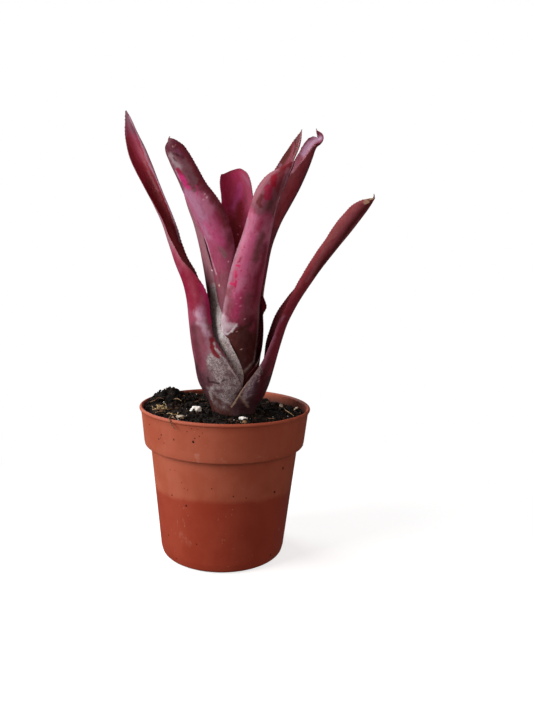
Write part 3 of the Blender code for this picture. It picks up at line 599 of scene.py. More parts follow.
# brush strokes over them, in order: tone, half width, softness, strength, then points as (height, across)
leafStrokes = {
    "leaf_far_right": dict(outer=[
        ("deepWine", 3, 2, 1, (26, -.65), (18, -.35), (11, -.3)),
        ("purpleBloom", 2.6, 1.4, 1, (25, -.95), (20, -.9), (14, -.75)),
        ("sheathPurple", 2, 1.2, 1, (12, -.95), (4, -.65)),
        ("marginCream", .45, .2, 1, (32, -1), (26, -1), (21, -1), (15, -1), (11, -1), (5, -.95), (-1, -.95)),
        ("ash", .4, .25, .9, (31, -1), (29, -.85), (26, -.7)),
        ("ash", .35, .25, .9, (12, -.85), (9, -.7), (5, -.45)),
        ("blackBrown", .5, .3, .9, (29, -.9), (26, -.7)), ("blackBrown", .4, .3, .9, (22, -.65)),
        ("mauveDusk", .8, .5, .9, (32, -1), (37, -1), (45, -1), (54, -.95), (61, -.9)),
        ("wine", 1.8, 1.4, .9, (36, -.55), (47, -.75), (56, -.8)),
        ("dustyRose", 1.9, 1.2, 1, (125, -.75), (123, -.7), (120, -.7), (116, -.65)),
        ("greyMauve", .9, .6, .9, (126, -.8), (126, -.65)),
        ("darkBrownRed", 1.6, 1, 1, (127, -.35), (119, -.25), (110, -.2), (104, -.15), (96, -.2), (86, -.25)),
        ("roseBrown", .9, .8, .7, (108, -.8), (104, -.75), (100, -.7), (96, -.65), (90, -.55), (82, -.55)),
        ("cream", .45, .2, 1, (128, -.75), (129, -.85)), ("deepWine", .4, .2, .8, (99, -.7)),
        ("deepWine", .4, .2, .7, (96, -.65)), ("deepWine", .4, .2, .7, (104, -.65)),
        ("deepWine", .4, .2, .7, (123, -.75)), ("cream", .9, .25, 1, (127, -.85), (126, -.65), (127, -.6)),
        ("cream", .6, .25, 1, (129, -.85), (129, -1)),
        ("brownRed", 1.4, 1, .7, (121, -.95), (111, -.95), (99, -.85)),
        ("brownOlive", .8, .7, .7, (111, -.75), (103, -.75), (91, -.55)),
        ("filmOlive", .4, .25, .8, (13, -.95), (8, -.65), (5, -.45)),
        ("ash", .3, .25, .8, (30, -1), (25, -.75), (21, -.65)),
        ("purpleBloom", 1.2, 1, .8, (21, -.9), (15, -.85)),
        ("mauveDusk", .9, .6, .8, (30, -.85), (40, -.95), (49, -.95)),
        ("wine", 1.6, 1.2, .8, (26, -.3), (35, -.35), (44, -.4)),
        ("filmOlive", .35, .25, .9, (30, -1), (24, -1), (18, -1), (12, -1), (4, -.95)),
        ("filmViolet", 1.8, 1.2, .8, (30, -1), (24, -.95), (18, -.85), (13, -.8)),
        ("filmViolet", .35, .3, .9, (13, -.8), (8, -.55)),
        ("roseDust", 1.6, 1.4, .7, (127, -.85), (121, -.8), (112, -.75), (104, -.7)),
        ("roseDust", .9, .8, .6, (103, -.75), (98, -.85)),
    ]),
    "leaf_far_left": dict(outer=[
        ("dustyWine", 2.8, 2, 1, (48, .5), (38, .4), (31, .35)), ("mauve", 1.8, 1.2, .9, (62, .65), (57, .65)),
        ("paleMauve", .8, .8, .9, (54, .45), (53, .65), (50, .7), (47, .85)),
        ("ashMauve", 1.3, 1.2, .7, (44, .75), (38, .7), (35, .55)),
        ("sheathBrown", 2.6, 1.5, 1, (2, .35), (2, .5)),
        ("darkRed", 1.1, .25, 1, (44, .9), (40, .75), (37, .75), (35, .75)),
        ("chalk", .35, .2, .9, (42, .85), (39, .85), (37, .9)), ("blackBrown", .35, .15, 1, (20, .3), (20, .4)),
        ("blackBrown", .45, .15, 1, (21, .5), (21, .65), (23, .75)),
        ("crimson", 1.8, 1, .9, (73, .45), (68, .35), (71, .75)),
        ("sheathBrown", 2.6, 1.6, .9, (11, .05), (3, 0), (0, 0)),
        ("filmMauve", 3.6, 1.6, .9, (33, .65), (30, .75), (23, .65)),
        ("filmMauve", 2.2, 1.2, .9, (21, .85), (15, .75), (11, .65)),
        ("filmMauve", 1.6, 1.2, .8, (17, .35), (12, .45)), ("filmPale", .4, .5, .6, (14, .75), (6, .7)),
        ("sheathBrown", 2.6, 1.4, .9, (2, .4), (6, .65)),
        ("magentaHot", 1, .5, 1, (72, .95), (68, .95), (60, .95), (54, .95)),
        ("crimson", 2.4, 1.4, .8, (70, .55), (65, .55)),
        ("wineBrown", 3, 1.8, .9, (51, .25), (41, .25), (31, .15)),
        ("wineDark", 3.2, 1.8, .95, (28, 0), (20, .1), (9, -.05)),
        ("filmPale", .7, .8, .8, (24, .7), (23, .55)),
        ("paleMauve", 1.6, 1.2, .8, (60, .5), (55, .65), (48, .75)),
        ("magentaHot", 1.3, .7, 1, (72, .95), (68, .95), (60, .95), (54, .95)),
        ("filmPale", .7, .7, .7, (33, .5), (35, .65), (33, .75)),
        ("filmPale", .45, .5, .7, (17, .25), (14, .25), (17, .4)),
        ("filmPale", .5, .5, .6, (23, .9), (20, .95)), ("filmMauve", 6.5, 2.4, .8, (30, .65), (23, .65)),
        ("filmMauve", 4.5, 2, .8, (20, .85), (14, .75), (11, .65)),
        ("filmPale", .7, .8, .6, (33, .5), (35, .65), (33, .75)),
        ("filmPale", .6, .7, .6, (17, .25), (14, .25), (17, .4), (18, .65)),
        ("filmPale", .5, .6, .6, (21, .75), (20, .95), (14, .8)), ("filmPale", .5, .6, .5, (11, .5), (8, .75)),
        ("sheathBrown", 2.4, 1.6, .8, (11, .35), (8, .45)),
        ("blackBrown", .5, .2, .9, (24, .3), (21, .35), (20, .45), (20, .55)),
        ("blackBrown", .45, .2, .9, (21, .6), (23, .7), (21, .75)),
        ("darkRed", 1.1, .4, .95, (44, .85), (40, .8), (37, .75), (35, .8)),
        ("filmBright", .5, .3, .8, (42, .9), (39, .85), (35, .9), (30, .95), (23, .95)),
        ("filmEarth", 3.2, 2, .85, (12, .3), (6, .35), (5, .55)),
        ("filmEarth", 1.6, 1.6, .7, (26, .8), (21, .8)),
        ("filmPale", .5, .6, .6, (17, .25), (14, .25), (9, .2)),
    ], inner=[
        ("plum", 1.7, .9, 1, (180, -1), (175, -.4), (171, -.3), (168, -.4)),
        ("dustyPink", .6, .5, .8, (171, .95), (167, 1)),
        ("roseRed", 1, .8, .8, (165, .15), (158, .15), (152, -.05)),
        ("roseRose", .6, .7, .8, (151, -.05), (142, -.15), (133, -.35)),
        ("greyMauve", .9, .3, .9, (173, -1), (164, -1), (153, -1), (142, -1), (132, -1), (118, -1),
         (103, -1)), ("darkRed", .3, .25, .8, (163, -.15), (153, -.35), (143, -.5), (131, -.8)),
        ("crimsonRed", 2.4, 1.2, .8, (164, .75), (156, .75), (149, .65), (137, .9)),
        # painted light: the saturated red inside this leaf is painted brighter where it lies in shade
        ("bloodRed", 1.6, 1.2, .9, (128, .65), (117, 1), (102, -.25)),
        ("greyMauve", 1.3, .5, .95, (176, -.95), (168, -1), (159, -.6), (150, -.45), (140, -.75), (129, -1),
         (116, -1), (103, -1)),
    ]),
    "leaf_left_behind": dict(outer=[
        # the pale scurf strokes here are partly painted light, brighter than the scurf itself, making up for
        # the far-left leaf's shadow
        ("paleSpeck", .4, .2, 1, (84, .95)), ("filmGrey", 2.6, .8, 1, (74, .75), (67, .65), (59, .8)),
        ("filmBright", 2.4, .8, 1, (58, .75), (53, .85), (48, .8)),
        ("filmBrown", 2.8, .6, 1, (43, .75), (36, .75), (31, .85), (25, .95)),
        ("brownDark", .35, .25, .8, (41, .65), (34, .75), (26, .85)),
        ("rust", .3, .25, .8, (68, .55), (59, .55), (54, .5)), ("olive", .9, .5, .8, (27, 1), (26, 1)),
        ("filmBright", .35, .3, .7, (47, 1), (41, 1), (35, .95), (30, 1)),
    ]),
    "leaf_right_hooked": dict(outer=[
        ("roseGrey", .4, .25, .9, (162, -.95), (155, -1), (149, -1), (145, -.95), (142, -1)),
        ("darkRed", 2, 2, .6, (137, -.7), (133, -.65)),
        ("brownRed", 2.6, 1.8, .8, (155, -.9), (144, -.7), (129, -.7), (116, -.65)),
        # pale grey-olive sheath margin, partly painted light: painted paler so that it shows bright in the
        # shade of the front leaf
        ("paleOlive", 2, .9, .95, (78, -.8), (60, -.75), (44, -.7), (32, -.55), (26, -.3)),
        ("paleOlive", .5, .4, .9, (76, -1), (60, -1), (44, -1), (30, -.95)),
    ], inner=[
        ("lilac", 1.8, .8, 1, (167, .35), (166, .45), (163, .55), (160, .65), (156, .75)),
        ("roseDusk", 1.8, .8, 1, (155, .75), (153, .85), (149, .95), (146, .95)),
        ("greyMauve", .35, .25, .7, (155, .9), (147, .95), (144, .95)),
    ]),
    "leaf_front": dict(outer=[
        # the grey-mauve strip along the left margin and the pink-mauve band beside it are pale bloom, partly
        # painted sheen from the light on the left
        ("greyMauve", 1.3, .7, 1, (113, -.9), (106, -.95), (99, -.95), (93, -.95), (84, -.95), (77, -.95)),
        ("pinkMauve", 2.6, 1.3, 1, (115, -.55), (110, -.6), (101, -.65), (93, -.55), (84, -.45), (78, -.5),
         (72, -.55)), ("dustyRose", 1.8, 1, .9, (68, -.6), (63, -.6)),
        ("rosePink", 2, 1.2, .8, (72, -.45), (67, -.45), (62, -.45)),
        ("crimsonRose", 1.6, 1.2, .9, (114, -.15), (110, -.25)),
        ("brownOlive", 1.9, 1.2, .9, (107, .05), (101, -.05), (94, -.05)),
        ("wine", 2.3, 1.4, .9, (101, .35), (92, .4), (83, .2), (74, .25), (69, .2)),
        ("carmine", .4, .2, 1, (100, -.7), (99, -.65)),
        ("carmine", .5, .2, 1, (93, -.7), (91, -.7), (90, -.75)), ("hotRed", .65, .2, 1, (88, -.8), (88, -.65)),
        ("hotRed", .65, .2, 1, (85, -.75), (82, -.7)), ("hotRed", .8, .2, 1, (78, -.85), (78, -.75)),
        ("hotRed", .6, .2, 1, (80, -.65), (77, -.65)), ("carmine", .4, .2, .9, (81, -.55)),
        ("carmine", .4, .2, .9, (86, -.55)), ("carmine", .35, .2, .9, (75, -.75)),
        ("carmine", .35, .2, .9, (74, -.65)), ("carmine", .4, .2, .9, (71, -.75)),
        ("carmine", .5, .25, .9, (79, -.25)), ("carmine", .4, .25, .9, (77, -.25), (77, -.35)),
        ("carmine", .5, .3, .7, (108, -.35)), ("carmine", .35, .2, .8, (97, -.7)),
        ("deepRose", 1.1, .8, .7, (73, -.35), (69, -.35), (64, -.45)), ("carmine", .5, .3, .9, (57, -.4)),
        ("paleSpeck", .35, .2, 1, (71, -.4)), ("paleSpeck", .4, .2, 1, (66, -.35)),
        ("paleSpeck", .35, .2, 1, (59, -.1)), ("paleSpeck", .3, .2, 1, (67, -.5)),
        ("roseGrey", .4, .3, .9, (117, .45), (109, .5), (102, .55)),
        ("dustyMauve", 2, 1, 1, (138, -.8), (133, -.65), (129, -.65), (125, -.8)),
        ("darkRed", 1.9, .9, 1, (140, -.7), (141, -.65), (142, -.6)),
        ("brownRed", 2.2, 1.2, 1, (138, -.15), (136, .5)),
        ("roseBrown", .9, .5, .9, (141, .15), (135, .6), (130, .65), (123, .65)),
        ("brownDark", 1.4, 1, .8, (126, .15), (122, .05)), ("crimsonDark", 1.7, .5, 1, (136, -.4), (133, -.1)),
        ("crimsonHot", 2.3, .5, 1, (131, -.25), (128, -.1)),
        ("scarBrown", 1.1, .5, 1, (127, -.45), (124, -.55), (122, -.35)),
        ("sheathBrown", 6.5, 2, 1, (46, -.1), (41, .05), (35, .15)),
        ("wineBrown", 2.2, 1.5, 1, (56, .05), (59, .15)),
        ("sheathBrown", .9, .2, 1, (49, -.5), (51, -.35), (53, -.15), (56, .15)),
        ("paleSpeck", .3, .2, 1, (51, -.35)), ("paleSpeck", .3, .2, .8, (40, -.1)),
        ("roseGrey", .35, .2, .9, (145, -1), (134, .85), (127, .75), (116, .6), (105, .6)),
        ("brownRed", 1.4, 1, .7, (142, -.65), (143, -1)),
        ("ashMauve", 1.3, 1, .8, (69, -.95), (64, -.95), (59, -.9)),
        ("paleMauve", 1.3, 1.2, .7, (58, -.8), (54, -.7)),
        ("fanLilac", 1.5, .9, .95, (59, -.95), (56, -.9), (52, -.8), (50, -.75)),
        ("fanLilac", 1, .7, .9, (53, -.75), (54, -.55), (55, -.45)),
        ("fanPale", .5, .3, 1, (49, -.65), (51, -.5), (54, -.4), (56, -.35)),
        ("fanPale", .6, .5, .9, (59, -.95), (54, -.95), (50, -.85)),
        ("ashOlive", .9, .9, .8, (67, .6), (56, .6), (46, .65), (37, .55)),
        ("ashOlive", .9, .6, .9, (37, .55), (32, .45), (29, .2), (27, .05)),
        ("fanLilac", 2, .9, .8, (57, -.95), (53, -.75), (53, -.65)),
        ("vividRose", 2.2, 1.8, .55, (73, -.45), (66, -.45), (60, -.45)),
        ("vividRose", 1.8, 1.6, .5, (106, -.4), (94, -.45), (84, -.45)),
    ]),
    "leaf_left_broad": dict(outer=[
        # the dark red and wine strokes along the right side (across .55 to 1) are partly painted shade where
        # the leaf turns from the light; the pale mauve strokes on the left side are partly painted sheen
        ("brownMauve", 3.6, 1.5, 1, (144, .05), (140, .35), (137, .5), (134, .55)),
        ("wineTop", 2.6, .8, 1, (154, .1), (154, .55), (151, .6), (148, .55)),
        ("darkRed", 1.7, .8, 1, (151, .8), (146, .85), (141, .85), (134, .9), (130, .9)),
        ("blackBrown", .5, .3, .8, (154, -.55)), ("tanPink", .3, .2, 1, (153, .3), (152, .35), (153, .55)),
        ("greyBloom", 1.5, .9, 1, (150, -.2), (147, -.15), (144, -.05), (143, .05)),
        ("plumMauve", 1.3, .9, .8, (150, .45), (148, .55)),
        ("deepWine", .3, .15, .9, (150, .05), (149, .2), (148, .35)),
        ("deepWine", .4, .15, .9, (148, -.05), (146, .05)),
        ("deepWine", .25, .15, .9, (148, .25), (147, .45), (145, .55)),
        ("mauve", .6, .4, 1, (142, -.35), (137, -.35)),
        ("carmine", 1.2, .45, 1, (142, -.15), (140, -.1), (138, -.05)),
        ("hotPink", 1.7, .6, 1, (138, -.15), (136, -.1), (134, -.1), (132, -.05)),
        ("brownRed", .5, .25, 1, (134, 0), (133, .15), (131, .2)),
        ("hotPink", .4, .2, .9, (132, .35), (130, .45), (128, .25), (126, .1)),
        ("carmine", .45, .25, .9, (130, .45), (130, .55), (131, .75)),
        ("darkRed", .8, .3, .9, (131, .55), (133, .85)),
        ("mauve", 2.9, 1.3, 1, (130, -.3), (127, -.15), (124, -.15), (118, -.15), (112, -.25), (108, -.25)),
        ("pink", 1.5, 1, .8, (129, .5), (125, .45)),
        ("wine", 2.4, 1.4, 1, (129, .7), (125, .85), (119, .85), (114, .95)),
        ("darkRed", 2.2, 1.5, .9, (115, .6), (109, .7)), ("paleSpeck", .4, .2, 1, (126, .55)),
        ("paleSpeck", .4, .2, 1, (124, .35)), ("paleSpeck", .4, .2, 1, (124, .55)),
        ("pink", 1.6, 1, .9, (112, -.1), (107, -.05)),
        ("rosePink", 1.8, 1, .9, (92, -.05), (92, .3), (89, -.05)),
        ("wine", 2.2, 1.5, .9, (104, .85), (99, .55)), ("scuff", 1.2, .7, .8, (99, .15), (97, .25), (94, .3)),
        ("carmine", .5, .3, .8, (86, -.45), (85, -.25)), ("carmine", .4, .3, .7, (87, .35)),
        ("cream", .45, .2, 1, (78, -.45)), ("paleSpeck", .35, .2, 1, (91, .45)),
        ("paleMauve", .55, .4, .9, (107, -.65), (100, -.75), (92, -.7), (84, -.55)),
        ("redWine", 1.6, .9, .9, (151, 1), (142, .95), (134, .95), (126, .95)),
        ("vividPink", 1.6, 1.1, .7, (114, -.15), (106, .05), (102, .35)),
        ("redWine", 1.2, .8, .9, (153, .75), (149, .75), (144, .8), (139, .85), (134, .85)),
        ("redWine", 1.5, 1, .8, (122, .7), (116, .85), (109, .95)),
        ("vividRose", 2.4, 1.8, .5, (115, .35), (107, .3), (101, .3)),
    ]),
    "leaf_back_right": dict(inner=[
        ("rust", 1.9, 1, 1, (166, .85), (161, .75), (157, .75)),
        ("deepWine", .35, .2, .8, (169, .95), (163, -.05), (160, -.55)),
        ("lilac", .8, .5, .7, (152, .75), (151, .75)), ("brownDeep", 2.4, 1.2, .9, (162, .75), (156, .75)),
        ("rose", .9, .5, .7, (166, .55), (159, .05), (154, .15)),
        ("blackBrown", .3, .2, .8, (170, 1), (166, .3), (160, -.25)),
        ("brownDeep", .8, .5, .9, (173, 1), (166, -.05), (160, -.35)),
    ]),
    "leaf_heart": dict(outer=[
        ("plumPink", 2.2, 1.2, .9, (142, .4), (134, .55), (126, .55)),
        ("bloodRed", 2.2, 1.6, .8, (123, .05), (113, .25)),
        ("crimsonDeep", 1.6, 1, .9, (146, -.7), (147, -.3), (145, .65)),
        ("crimsonDeep", .8, .5, .8, (144, 1), (146, .45), (148, -.55), (145, -.75), (141, -1)),
        ("magentaHeart", 1.6, 1.2, .8, (143, .45), (134, .7), (127, .75)),
        ("bloodBright", 1.6, 1.4, .7, (123, -.05), (113, .15)),
    ], inner=[
        ("brownRed", .9, .6, .9, (146, -.25)), ("roseRed", 1.3, .9, .9, (142, -.8), (136, -.7), (126, -.45)),
        ("darkRed", 1.7, 1.4, 1, (129, -.15), (123, -.15), (115, .05)), ("paleSpeck", .4, .2, 1, (114, -.15)),
        ("paleSpeck", .4, .2, 1, (114, -.15)), ("paleSpeck", .35, .2, 1, (109, -.05)),
        ("magenta", 2.6, 1.2, 1, (143, .45), (136, .55), (128, .55)),
        ("crimsonRose", 2, 1.2, .8, (145, -.15), (143, -.45)),
        ("mauveMagenta", 1.3, 1.1, .9, (138, -.3), (132, -.15), (125, .25)),
        ("darkRed", 2.2, 1.3, .9, (126, -.2), (118, -.15), (111, .15)),
        ("roseBrown", .8, .7, .8, (143, -.65), (137, -.9)), ("blackBrown", .35, .25, .7, (147, -.45)),
        ("rust", .6, .4, .8, (146, .35), (148, -1)),
    ]),
}


def strokeDistance(points, along, aside):     # distance in millimetres from a bent line on the flattened leaf
    nearest = np.full(along.shape, 1e9)
    for (s1, w1), (s2, w2) in zip(points, points[1:] or points):
        ds, dw = s2 - s1, w2 - w1
        t = np.clip(((along - s1) * ds + (aside - w1) * dw) / max(ds * ds + dw * dw, 1e-9), 0, 1)
        nearest = np.minimum(nearest, np.hypot(along - s1 - t * ds, aside - w1 - t * dw))
    return nearest


# painted light: how much brighter or dimmer the colours of a leaf are, red, green and blue; the leaves in shade
# at the right and behind are brightened to stand in for light they lack
leafPaintedLight = dict(
    leaf_far_left=(1.0, 1.1, 1.12), leaf_left_broad=(0.95, 0.98, 1.02), leaf_front=(1.12, 1.08, 1.14),
    leaf_left_behind=(1.35, 1.5, 1.5), leaf_back_right=(0.93, 0.94, 0.9), leaf_heart=(1.05, 0.65, 1.1),
    leaf_right_hooked=(1.45, 1.5, 1.5), leaf_far_right=(1.4, 1.25, 1.2),
)
leafPaint = dict(
    noiseSizes=(6.0, 1.7, 0.8),               # coarse, middle and fine noise that frays what is painted
    stripePull=(9, 2.5), strokePull=(0.3, 0.35), softPull=0.5, softWide=1.6,
    rimFrom=0.965, rimWidth=0.03, rimStrength=0.5,
)


def leafTone(name):
    red, green, blue, *scurf = leafTones[name]
    return np.array((*tone(red, green, blue), sum(scurf)))


def paintLeaf(blade, node, layout, seed):
    row, across = layout["row"], layout["across"][layout["column"]]
    along, aside = layout["length"][row], across * layout["halfWidth"][row]
    outer = np.arange(len(row)) < layout["count"]
    noiseSizes, pull, pullFine = leafPaint["noiseSizes"], *leafPaint["strokePull"]
    rough = np.array([[noise.noise(Vector((s / size, w / size, seed * 5.3 + size))) for size in noiseSizes]
                      for s, w in zip(along[:layout["count"]], aside[:layout["count"]])])
    coarse, middle, fine = np.tile(rough, (2, 1)).T
    shifted = layout["height"][row] + leafPaint["stripePull"][0] * coarse + leafPaint["stripePull"][1] * middle
    skin = np.zeros((len(row), 4))
    for face, chosen in (("outer", outer), ("inner", ~outer)):
        stops = leafAlong[node][face]
        table = np.array([leafTone(name) for _, name in stops])
        for channel in range(4):
            skin[chosen, channel] = np.interp(shifted[chosen], [h for h, _ in stops], table[:, channel])
    rim = np.clip((abs(across) - leafPaint["rimFrom"]) / leafPaint["rimWidth"], 0, 1) * leafPaint["rimStrength"]
    skin += rim[:, None] * (leafTone("marginLine") - skin)
    for face, chosen in (("outer", outer), ("inner", ~outer)):
        for name, width, soft, strength, *spots in leafStrokes[node].get(face, []):
            nearest = [int(np.abs(layout["height"] - height).argmin()) for height, _ in spots]
            places = [(layout["length"][i], share * layout["halfWidth"][i])
                      for i, (_, share) in zip(nearest, spots)]
            frayed = (pull + leafPaint["softPull"] * soft) * middle + pullFine * fine
            gap = strokeDistance(places, along, aside) + frayed
            spread = soft * leafPaint["softWide"] if soft > 0.5 else soft
            cover = strength * smoothed((width + spread - gap) / (2 * spread)) * chosen
            skin += cover[:, None] * (leafTone(name) - skin)
    # painted light: each leaf's colours scaled, brightening the leaves that lie in shade
    skin[:, :3] *= leafPaintedLight[node]
    paint(blade.data, "skin", skin[:, :3], "FLOAT_VECTOR")
    paint(blade.data, "scurf", skin[:, 3])
    unrolled = np.stack([along, across * layout["halfWidth"].mean(), np.where(outer, seed, seed + 40)], 1)
    paint(blade.data, "unrolled", unrolled, "FLOAT_VECTOR")


def leafSkin():
    recipe = Recipe("leafSkin")
    place = recipe.place()
    skin = recipe.node("Attribute", dict(attribute_name="skin"), out="Color")
    scurf = recipe.painted("scurf")
    unrolled = recipe.node("Attribute", dict(attribute_name="unrolled"), out="Vector")
    fibres = recipe.grain(recipe.stretched(unrolled, (0.10, 2.6, 1)), 1, 3)
    blush = recipe.grain(recipe.stretched(unrolled, (0.20, 0.42, 1)), 1, 4, 0.65, 0.5)
    mottle = recipe.grain(place, 650, 4, 0.7)
    fine = recipe.grain(place, 1700, 3, 0.7)
    light = 0.62 + 0.20 * fibres + 0.26 * mottle + 0.30 * fine
    colour = recipe.node("VectorMath", dict(operation="SCALE"), {0: skin, "Scale": light})
    deep = recipe.node("VectorMath", dict(operation="MULTIPLY"), {0: colour, 1: (0.74, 0.48, 0.56)})
    colour = recipe.mix((1 - blush.step(0.34, 0.5)) * 0.55, colour, deep)
    colour = recipe.mix((blush * 0.6 + fine * 0.4).step(0.5, 0.66) * 0.06, colour, tone(206, 160, 176))
    worms = recipe.grain(place, 470, 1, 0.4, 0.9)
    other = recipe.grain(recipe.stretched(place, (390, 390, 390), (3, 7, 5)), 1, 1.5, 0.5, 1.2)
    patches = recipe.grain(place, 330, 3, 0.6)
    haze = (patches + scurf * 0.7).step(0.66, 1.05)
    thread = (1 - (worms - 0.5).size().step(0.015, 0.06)) * (scurf * 0.8 + patches * 0.4).step(0.42, 0.8)
    crack = (1 - (other - 0.5).size().step(0.008, 0.035)) * scurf.step(0.55, 0.8)
    film = recipe.mix(fine.step(0.35, 0.65), tone(96, 74, 76), tone(200, 186, 186))
    colour = recipe.mix(haze * 0.45, colour, film)
    colour = recipe.mix(thread * 0.55, colour, tone(200, 188, 190))
    colour = recipe.mix(crack * 0.65, colour, tone(58, 36, 34))
    crust = haze * 0.3 + thread * 0.7
    pits = recipe.cells(place, 1150)
    dots = (1 - pits.step(0.07, 0.17)) * recipe.grain(place, 190, 2).step(0.52, 0.64)
    colour = recipe.mix(dots * 0.3, colour, tone(232, 196, 204))
    height = fibres * 0.35 + crust * 0.6 + mottle * 0.3
    rough = 0.44 + 0.3 * crust + 0.16 * mottle
    return recipe.finish(colour=colour, roughness=rough, normal=recipe.bump(height, 0.5, 0.14), specular=0.2,
                         scatter=0.12)


# pot: lip, stepped band and tapering body, turned as one closed wall

pot = dict(
    lipRadius=52.5, height=92.5, lipHeight=2.2, bandTop=51.7, bandBottom=49.2, bandHeight=23.5, stepFillet=1.2,
    bodyTop=45.6, bodyBottom=38.1, baseRound=3.0, wall=1.3, floor=1.8, steps=288,
    holes=6, holeRadius=3.5, holeRing=27.0,
    perDegree=0.8,                            # millimetres round the wall for each degree
    # earthBand is the soil stain just above the peat; the side and reach after it place painted shade round the
    # right of the inner wall, by azimuth and degrees
    moistLine=40.5, moistRise=4.8, moistFade=3.6, earthBand=4.5, shadeSide=5, shadeReach=70,
    speckSeed=5, speckThickness=0.22, speckSize=0.75,
)
ledge = pot["height"] - pot["bandHeight"]
# pale scuffs on the wall: half width, softness, strength and points as (azimuth, height)
wallScuffs = [
    (2.4, 2.4, .36, [(237, 22.5), (242, 19), (247, 17)]), (1.6, 1.6, .3, [(235, 20.5), (238, 17)]),
    (.5, .5, .6, [(240, 32.5), (241, 28)]), (.5, .5, .45, [(234, 31), (234, 25)]),
    (.3, .3, .9, [(269, 37.5), (270, 34)]), (.7, .6, .5, [(295, 53), (296, 52)]), (.5, .5, .5, [(297, 39)]),
    (.6, .5, .9, [(330, 21.5), (331, 20)]), (1.4, 1.2, .5, [(256, 74), (257, 70.5)]),
    (1.3, 1.2, .4, [(272, 73), (274, 70.5)]), (1, 1, .4, [(296, 73), (300, 72)]), (.45, .3, .8, [(237, 12.5)]),
    (.45, .3, .8, [(228, 8.5)]), (.3, .3, .7, [(256, 8.5)]), (.3, .3, .7, [(274, 22)]),
    (.3, .3, .6, [(277, 12.5)]), (.3, .2, .9, [(258, 66.5)]), (2.2, 2, .4, [(40, 30), (52, 24)]),
    (.5, .5, .6, [(110, 40), (112, 33)]), (1.8, 1.6, .45, [(140, 20), (150, 14)]),
    (.4, .4, .7, [(75, 52), (78, 46)]), (1.2, 1, .4, [(20, 74), (28, 72)]),
    (1.6, 1.2, .4, [(95, 73), (105, 72)]),
]
# specks of dried soil on the wall: azimuth, height, size
wallSpecks = [
    (230, 60.5, .6), (235, 61, .4), (230, 45, .9), (244, 41, .9), (281, 49, .8), (291, 47.5, .6),
    (317, 47.5, 1.2), (324, 61, 1.2), (220, 17.5, .8), (229, 4.5, .8), (252, 18, .7), (265, 53.5, .5),
    (243, 51.5, .4), (246, 51, .5), (322, 6, .9), (320, 3.5, .7), (215, 85.5, .7), (229, 82, .9), (226, 79, .7),
    (240, 81, .9), (254, 81.5, 1.1), (255, 83.5, .7), (258, 85, .6), (260, 87, .5), (182, 77, .8),
    (231, 77.5, .5), (253, 89, .7), (257, 89, .7), (250, 87, .5), (228, 80, .5), (189, 44.5, .8),
    (241, 54.5, .5), (262, 2.2, 1), (270, 2, 1.1), (274, 2.4, .8), (30, 80, .9), (48, 62, .7), (62, 40, .9),
    (85, 83, .8), (100, 57, .8), (121, 78, .9), (135, 45, .8), (152, 66, .6), (160, 18, .9), (15, 30, .8),
    (350, 70, .6), (70, 12, .9),
]


def bodyRadius(height):
    return pot["bodyBottom"] + (pot["bodyTop"] - pot["bodyBottom"]) * height / ledge


def innerRadius(height):
    if height < ledge:
        return bodyRadius(height) - pot["wall"]
    share = (height - ledge) / pot["bandHeight"]
    return pot["bandBottom"] + (pot["bandTop"] - pot["bandBottom"]) * share - pot["wall"]


def outerRadius(height):
    return bodyRadius(height) if height < ledge else innerRadius(height) + pot["wall"]


def potProfile():
    lip, top = pot["lipHeight"] / 2, pot["height"]
    low = pot["floor"] + 2.2
    points = [(6, pot["floor"]), (20, pot["floor"]), (innerRadius(pot["floor"]) - 2, pot["floor"])]
    points += [(innerRadius(low), low)]
    points += [(innerRadius(h), h) for h in np.linspace(low, ledge - 1, 6)[1:]]
    points += [(innerRadius(ledge), ledge + pot["wall"])]
    points += [(innerRadius(h), h) for h in np.linspace(ledge + 4, top - 1, 5)]
    points += arc((pot["lipRadius"] - lip, top - lip), lip, 100, -60, 11)
    under = top - pot["lipHeight"]
    points += [(pot["bandTop"] + 0.12, under + 0.05), (pot["bandTop"], under - 0.35)]
    points += [(outerRadius(h), h) for h in np.linspace(top - 4, ledge + 2.2, 13)]
    fillet, body = pot["stepFillet"], bodyRadius(ledge)
    points += arc((pot["bandBottom"] - fillet, ledge + fillet), fillet, 0, -90, 7)
    points += [(body + 0.5, ledge), (body + 0.1, ledge - 0.25), (body - 0.1, ledge - 0.9)]
    points += [(bodyRadius(h), h) for h in np.linspace(ledge - 2.2, pot["baseRound"] + 1.5, 44)]
    points += arc((pot["bodyBottom"] - pot["baseRound"], pot["baseRound"]), pot["baseRound"], 0, -90, 8)
    points += [(pot["holeRing"] + 6, 0), (pot["holeRing"] - 6, 0), (6, 0)]
    return points


def makePot():
    body = turnedSolid(potProfile(), pot["steps"])
    drills = []
    for number in range(pot["holes"]):
        angle = 2 * math.pi * (number + 0.5) / pot["holes"]
        place = (pot["holeRing"] * mm * math.cos(angle), pot["holeRing"] * mm * math.sin(angle), 0)
        bpy.ops.mesh.primitive_cylinder_add(vertices=32, radius=pot["holeRadius"] * mm,
                                            depth=4 * pot["floor"] * mm, location=place)
        drills.append(bpy.context.object)
    drill = joined(drills)
    removal = body.modifiers.new("holes", "BOOLEAN")
    removal.operation, removal.object, removal.solver = "DIFFERENCE", drill, "EXACT"
    applyAll(body)
    bpy.data.objects.remove(drill)
    return body


